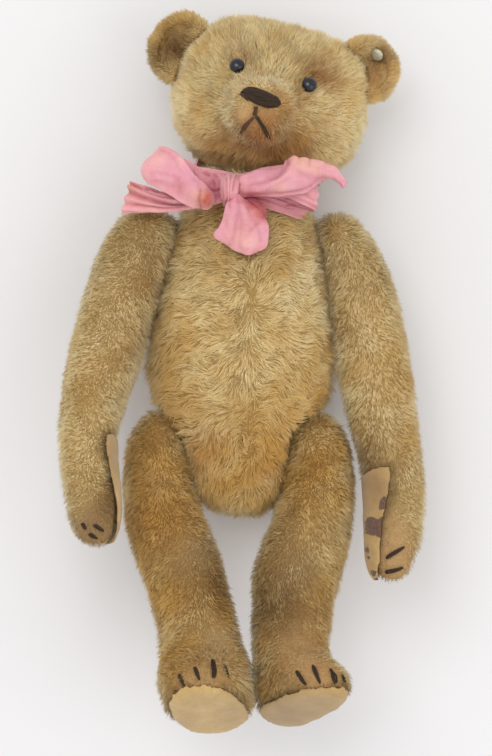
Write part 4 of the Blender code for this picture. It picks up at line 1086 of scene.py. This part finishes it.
# the bow's strips: each row is a station, with the points that lie across the ribbon there
BOW = {
    "left_loop": (
        (-11, 73, 70, -11, 77.5, 70, -10.5, 82.5, 69), (-19, 72, 69, -19, 78.5, 70, -18.5, 85, 69),
        (-28, 73, 68, -28.5, 80.5, 69, -27, 89.5, 69), (-36.5, 76, 69, -39.5, 84, 70, -35, 93.5, 70),
        (-43.5, 78, 73, -46.5, 84.5, 74, -38.5, 94.5, 74),
        (-42.5, 77.5, 77, -44.5, 85.5, 78.5, -36.5, 94.5, 78), (-36, 74, 79, -34.5, 82.5, 82, -30, 91, 80),
        (-28.5, 69.5, 80, -26.5, 76.5, 84, -24, 83, 82), (-22.5, 67, 80, -20, 72, 85.5, -18.5, 78, 83),
        (-17.5, 66.5, 78, -15.5, 70, 82, -15, 74.5, 81), (-14.5, 69, 74, -13.5, 71, 75, -13.5, 73.5, 76),
    ),
    "left_tail": (
        (-56.5, 65.5, 61, -55, 70.5, 62, -53.5, 76, 61, -52.5, 80.5, 60),
        (-48, 66, 63, -47.5, 70, 65, -46.5, 74, 65, -44.5, 78, 63),
        (-38.5, 66, 66, -38, 68.5, 68, -37, 71.5, 68, -35.5, 75, 66),
        (-29, 66.5, 68, -28.5, 68, 70, -28, 70.5, 70, -27.5, 72.5, 68),
        (-18.5, 68, 70, -18, 70, 71, -17.5, 71.5, 71, -17, 73.5, 70),
    ),
    "gather": (
        (-18.3, 68.4, 71, -20.5, 76.4, 73, -23.2, 84.9, 71),
        (-14.7, 68.8, 72, -15.6, 75.5, 75, -17.4, 84, 72),
        (-10.7, 69.7, 74, -11.2, 75.5, 77, -10.7, 82.2, 74),
    ),
    "knot": (
        (-10.5, 83, 67, -7, 83.8, 68, -3, 82.8, 67), (-11.2, 80, 76, -7, 80.8, 79.5, -2.6, 80, 76),
        (-11.5, 75, 79, -7.6, 74.8, 83.5, -3.2, 75, 79.5), (-11, 71, 77, -8, 70.5, 81, -4.4, 71, 77.5),
        (-10.2, 68.9, 69, -8, 68.4, 70, -5.6, 68.9, 69),
    ),
    "right_wing": (
        (-4.5, 72, 76, -3.5, 76.5, 78, -3, 81, 76), (4.5, 72, 78, 5, 77.5, 82, 5, 83.5, 78),
        (13, 72, 79, 13.5, 77.5, 84, 14.5, 85, 79), (20, 72.5, 79, 19.5, 79.5, 84, 18, 89, 80),
        (26.5, 74, 78, 26.5, 80.5, 82, 28.5, 89, 79), (33, 78, 76, 33.5, 82.5, 79, 35.5, 87, 77),
        (38.5, 81, 73, 39.5, 82, 75, 41, 84.5, 74), (43, 76.5, 70, 44, 77, 71, 45, 79, 70),
    ),
    "right_loop": (
        (-2.5, 72, 70, -2.5, 75, 71, -2.5, 78.5, 70), (7, 72, 73, 7.5, 75.5, 74, 8, 79, 73),
        (17.5, 72, 74, 18, 76, 75, 18.5, 81, 74), (25, 69, 74, 25.5, 74.5, 75, 26.5, 80, 73),
        (30.5, 66.5, 72, 31.5, 71.5, 72, 32, 76.5, 71), (29.5, 66.5, 68, 31, 71.5, 67, 31.5, 76.5, 66),
        (22.5, 68, 65, 23, 72.5, 65, 23.5, 78, 64), (11.5, 68, 65, 11.5, 72, 65, 11.5, 77, 65),
        (-1, 69.5, 67, -1, 72.5, 67, -1, 77, 67),
    ),
    "front_tail": (
        (-6, 72.5, 78, -4, 73.5, 79, -2, 72.5, 78), (-8.5, 69.5, 79, -3.5, 69, 82, 2, 69, 79),
        (-10, 64, 78, -2, 64, 81.5, 7, 65, 78), (-12, 59, 76.5, -1.5, 59, 79.5, 10, 59.5, 76),
        (-14.5, 55, 75, -1.5, 54, 77.5, 10, 53, 74.5), (-9, 51, 74.5, -0.5, 49.5, 76, 8.5, 49.5, 74),
        (-3, 47.5, 74, 0, 46.5, 74.5, 3.5, 47, 74),
    ),
    "collar": (
        (-27, 72, 65, -27, 79, 66, -27, 86, 64), (-20.5, 72, 67, -20.5, 79.5, 68.5, -20.5, 86.3, 66),
        (-11.6, 72, 68, -11.6, 79, 69.5, -11.6, 84.8, 67.5),
        (-2.7, 72, 68, -2.7, 78, 70, -2.7, 83.2, 68.5), (1.8, 72, 68, 1.8, 78, 70, 1.8, 84.2, 68),
        (7.2, 72, 68, 7.2, 79, 70, 7.2, 86, 67.5), (14, 72, 68, 14, 80, 70, 14, 87, 67.5),
        (20, 73, 68, 20, 81, 69, 20, 88, 67),
    ),
    "inner_fold": (
        (-3.5, 71, 74, -0.5, 71.5, 76, 3.5, 72, 75), (1, 68, 75, 4, 69, 77, 6.5, 69.5, 75),
        (4.5, 65, 75, 6.5, 66, 76.5, 9, 66, 75), (6.5, 62, 75, 8, 62.5, 76, 9.5, 63, 75),
    ),
}


# each crease: its width, how far it rises, and the places that it runs through, seen from the front
CREASES = {
    "left_loop": (
        (3, 0.6, -26, 88.8, -24.3, 81.3, -24.7, 68.1), (2, -0.6, -22.5, 85.7, -20.3, 79.1, -22.1, 67.6),
        (0.6, -0.5, -38, 92.8, -35.8, 91.9), (2, -0.5, -30, 79.1, -28.7, 73.8),
        (1.2, -0.3, -42.4, 82.6, -31.3, 80.9), (1.2, -0.35, -40.2, 79.1, -32.7, 76.5),
        (0.7, -0.9, -19.4, 75.1, -20.7, 70.7, -19.9, 66.8),
        (1, -0.3, -34.4, 91.5, -30.9, 87.9, -28.3, 82.6),
    ),
    "left_tail": (
        (0.9, -1.4, -53.1, 76.2, -47.7, 73.5, -40.9, 71.3, -34.2, 69.5, -26.5, 69.1),
        (0.8, -1.2, -44.5, 77.1, -40.9, 75.8, -36, 74.4, -30.6, 71.8, -27.9, 69.5),
        (1, 0.8, -52.2, 78, -45.4, 75.3, -38.7, 73.1, -31.9, 70.9),
        (0.8, -0.6, -51.3, 69.5, -43.2, 68.6, -34.2, 67.7, -27.4, 68.2),
        (0.8, -0.7, -51.7, 79.4, -47.7, 77.6, -44.1, 76.2),
    ),
    "right_wing": (
        (1.3, 1.1, -0.4, 74.4, 7.1, 75.7, 14.2, 78.4, 18.6, 81.5, 20.3, 85.5, 21.2, 89),
        (1.6, -0.8, 1.8, 76.6, 8, 78, 13.3, 80.6, 16.8, 84.1, 18.1, 87.7),
        (1.5, 0.7, 22.1, 88.1, 25.2, 85.5, 29.2, 83.7, 34.9, 82.8, 40.7, 80.2),
        (2, -0.5, 23.9, 82.8, 30.5, 80.2, 36.3, 80.2), (0.7, -0.8, 18.1, 89.9, 19, 86.4),
        (0.6, 0.6, 20.8, 89.9, 21.2, 86.8), (0.7, -0.8, 23.4, 90.3, 23.4, 86.4),
        (0.6, 0.6, 26.1, 89.9, 25.7, 86.4), (0.7, -0.7, 28.3, 89, 27.9, 85.5),
        (0.8, -0.8, 5.3, 73.1, 15, 73.1, 23.9, 74.4, 29.2, 76.6),
    ),
    "right_loop": (
        (0.7, -0.9, 7.1, 72.3, 17.4, 71, 24.1, 68.3, 29.4, 67),
        (0.7, -0.7, 19.6, 72.8, 26.3, 70.1, 31.2, 67.9), (0.6, -0.4, 26.3, 74.1, 30.3, 71),
    ),
    "front_tail": (
        (1.2, -0.6, -3.5, 71.9, -4, 63.9, -5.3, 55.1, -7.1, 51.1),
        (1.5, 0.5, -0.9, 68.4, 0, 60.8, -0.9, 50.6), (0.8, -0.4, -2.7, 69.7, -2.2, 61.7, -2.7, 49.3),
        (0.9, -0.45, 1.8, 56.4, 4.4, 59.1, 7.1, 60.8), (1.2, -0.4, 2.7, 63.5, 5.3, 59.1, 6.6, 52.9),
        (1, 0.35, -10.6, 58.2, -8, 54.6, -6.2, 50.2),
    ),
    "knot": (
        (0.6, -0.8, -8.8, 80.5, -9.3, 74.8, -8.4, 69), (0.6, -0.7, -6.6, 81.4, -7.1, 74.8, -7.1, 69.5),
        (0.6, -0.8, -4.4, 81, -5.3, 74.8), (0.5, -0.5, -10.2, 79.2, -10.6, 73.9, -9.7, 69.5),
    ),
    "gather": (
        (0.9, -0.9, -18.3, 83.4, -14.7, 79, -12.9, 73.2), (0.7, -0.9, -14.3, 83, -12, 78.1, -12.5, 71),
        (1, 0.7, -20.9, 82.1, -17.8, 78.1), (0.8, -0.7, -22.3, 83.9, -16, 82.6, -11.6, 80.8),
    ),
}


def ribbon_material():
    made = Material("ribbon_silk", {"Roughness": 0.5, "Specular IOR Level": 0.35, "Sheen Weight": 0.25,
                                    "Sheen Roughness": 0.4})
    along = made.maths("MULTIPLY", made.mask("along"), 100.0)
    across = made.maths("MULTIPLY", made.mask("across"), 100.0)
    colour = made.ramp(made.noise(9.0, 4.0, 0.6), (0.3, srgb(232, 152, 162)), (0.55, srgb(242, 170, 176)),
                       (0.75, srgb(247, 188, 188)))
    streaks = made.grey(made.noise(1.6, 3.0, 0.6), 0.3, 0.75, 0.0, 0.35)
    colour = made.mix(streaks, colour, srgb(246, 196, 196))
    patches = made.grey(made.noise(3.0, 3.0), 0.25, 0.6, 0.6, 1.0)
    # the masks tint the ribbon: fade is an orange tint that also paints a highlight; fold and deep are painted
    # shade in folds and under the bow's layers
    for mask, tint in (("fade", srgb(238, 184, 150)), ("mauve", srgb(224, 150, 186)),
                       ("fold", srgb(204, 96, 72)), ("deep", srgb(176, 84, 104))):
        strength = made.maths("MULTIPLY", made.mask(mask), patches)
        colour = made.mix(strength, colour, tint)
    spots = made.grey(made.noise(5.5, 2.0, 0.5, stretch=(1.3, 0.8, 1.0)), 0.66, 0.74, 0.0, 0.3)
    colour = made.mix(spots, colour, srgb(214, 150, 110))
    ribs = made.maths("SINE", made.maths("MULTIPLY", along, 2 * math.pi / RIB))
    threads = made.maths("SINE", made.maths("MULTIPLY", across, 2 * math.pi / WARP))
    weave = made.maths("ADD", ribs, made.maths("MULTIPLY", threads, 0.3))
    shade = made.ramp(made.grey(ribs, -1.0, 1.0), (0.0, (0.94, 0.90, 0.91)), (0.6, (1.0, 1.0, 1.0)))
    colour = made.mix(1.0, colour, shade, "MULTIPLY")
    creases = made.noise(2.2, 4.0, 0.6)
    bumped = made.bump(made.grey(weave, -1.3, 1.3), 0.10, 0.6, made.bump(creases, 0.5, 0.5))
    return made.set(Base_Color=colour, Normal=bumped)


RIBBON_ZONES = [
    # the fold at the right end of the left loop: an orange band, and painted shade in the fold
    zone(-20, 71.5, 84, 3.6, fade=0.9), zone(-17.2, 69.3, 84, 3.4, fold=1),
    zone(-16, 72.8, 83, 2.4, fold=0.7),
    # painted shade where it goes into the knot
    zone(-15.5, 77, 73, 6, deep=0.75), zone(-13, 74, 74, 4, deep=0.4),
    # the loop's smooth face
    zone(-24.5, 80, 83, 5, mauve=0.45), zone(-33, 84, 81, 6, mauve=0.25), zone(-29, 77, 82, 3.5, fold=0.3),
    zone(-40, 90, 77, 6, fade=0.2), zone(-36, 92, 80, 3, fold=0.15),
    # the left tail
    zone(-54, 78, 61, 4, fade=0.8), zone(-52, 79, 61, 5, fold=0.35), zone(-44, 70.5, 65, 7, fade=0.35),
    zone(-40, 74.5, 67, 5, mauve=0.3),
    # the right wing, with a painted highlight strip along it at (14, 76.5)
    zone(8, 80, 82, 9, mauve=0.3), zone(24, 88, 81, 5, fade=0.7), zone(31, 86, 79, 4.5, fade=0.35),
    zone(14, 76.5, 83, 4, fade=0.5), zone(24, 78, 82, 7, mauve=0.2), zone(43, 78, 70, 4, mauve=0.4),
    # painted shade in the fold under the front tail
    zone(2, 71, 76, 4, deep=1, fold=0.8), zone(5.5, 68, 77, 5, fold=1),
    zone(8.2, 63.5, 76, 2.6, deep=0.7, fold=0.8),
    # the second loop, with painted shade where it lies under the right wing
    zone(8, 70.5, 70, 7, deep=0.5), zone(20, 69.5, 70, 7, deep=0.3),
    # the front tail
    zone(-12.5, 57, 76, 3.5, mauve=0.35), zone(9, 56, 76, 3.5, mauve=0.4), zone(-2, 54, 77, 6, fade=0.25),
    zone(-5, 65, 80, 5, mauve=0.3),
]


RIB, WARP = 0.62, 0.4       # how far apart the ribbon's ribs and its threads are
RIBBON_THICKNESS = 0.24
# strip: (points along and across, pleats, crumple, ruffle, seed)
STRIPS = {
    "left_loop": ((100, 40), (2.5, 0.3, 0.0), 0.35, 0.0, 3),
    "left_tail": ((66, 42), (3.5, 1.1, 0.5), 0.3, 0.0, 5),
    "gather": ((34, 34), (4.0, 0.4, 0.6), 0.2, 0.0, 21),
    "knot": ((40, 46), (3.0, 0.25, 0.25), 0.15, 0.0, 6),
    "right_wing": ((96, 40), (1.6, 0.4, 0.1), 0.35, 0.45, 8),
    "right_loop": ((84, 28), (2.5, 0.4, 0.4), 0.25, 0.0, 9),
    "front_tail": ((60, 46), (1.6, 0.2, 0.15), 0.35, 0.0, 12),
    "collar": ((60, 20), (2.5, 0.4, 0.4), 0.2, 0.0, 17),
    "inner_fold": ((26, 16), (1.0, 0.2, 0.2), 0.15, 0.0, 13),
}


def build_ribbon():
    strips = [cloth_strip(BOW[name], *values, CREASES.get(name, ())) for name, values in STRIPS.items()]
    strips.append(cloth_strip(neck_band(), (170, 20), (3, 0.5, 0.5), 0.15, 0.0, 14, closed=True))
    points, faces, along, across, sunk = sheet_mesh(strips, RIBBON_THICKNESS)
    mesh = mesh_from("ribbon_bow", points, faces.tolist())
    mesh.shade_smooth()
    masks = wear_at(points, RIBBON_ZONES, RIBBON_MASKS)
    # painted shade in the ribbon's creases
    masks["deep"] = np.maximum(masks["deep"], sunk * 0.6)
    # a mask runs from 0 to 1, so the lengths are in decimetres
    for name, values in {**masks, "along": along / 100, "across": across / 100}.items():
        set_mask(mesh, name, values)
    made = add_object("ribbon_bow", mesh, ribbon_material())
    stand_in(made, "ribbon")


build_stuffed()
build_face()
build_claws()
build_pads()
build_eyes()
build_ear_button()
build_hardware()
build_ribbon()

# ---- floor, light and camera ----

CAMERA_HEIGHT = 1100.0
VIEW_PLANE = 38.0           # height at which the view is VIEW_TALL high
VIEW_TALL = 348.5
VIEW_MIDDLE = (0.0, -8.3)
SENSOR = 24.0
# in metres: (name, place, size, power in watts)
LAMPS = (
    ("key", (-0.35, 0.55, 1.5), 0.9, 6.4),
    ("fill", (0.8, -0.4, 1.2), 1.0, 2.8),
    ("catch", (0.12, 0.16, 1.5), 0.06, 0.16),
)


def build_stage():
    bpy.ops.mesh.primitive_plane_add(size=4.0)
    floor = bpy.context.object
    floor.name = "floor"
    made = Material("floor_paper", {"Roughness": 0.9, "Specular IOR Level": 0.1})
    tone = made.ramp(made.noise(600, 1.0), (0.35, srgb(243, 242, 242)), (0.65, srgb(247, 246, 247)))
    floor.data.materials.append(made.set(Base_Color=tone))

    scene = bpy.context.scene
    world = bpy.data.worlds.new("studio")
    world.use_nodes = True
    sky = world.node_tree.nodes["Background"].inputs
    sky["Color"].default_value = (1.0, 1.0, 1.0, 1.0)
    sky["Strength"].default_value = 0.75
    scene.world = world
    for name, place, size, power in LAMPS:
        light = bpy.data.lights.new(name, "AREA")
        light.size = size
        light.energy = power
        lamp = bpy.data.objects.new(name, light)
        lamp.location = place
        way = Vector((0, 0, 0.03)) - lamp.location
        lamp.rotation_euler = way.to_track_quat("-Z", "Y").to_euler()
        scene.collection.objects.link(lamp)

    camera = bpy.data.cameras.new("camera")
    camera.sensor_fit = "VERTICAL"
    camera.sensor_height = SENSOR
    camera.lens = SENSOR * (CAMERA_HEIGHT - VIEW_PLANE) / VIEW_TALL
    holder = bpy.data.objects.new("camera", camera)
    holder.location = Vector((*VIEW_MIDDLE, CAMERA_HEIGHT)) * MM
    scene.collection.objects.link(holder)
    scene.camera = holder
    scene.view_settings.view_transform = "Standard"


build_stage()
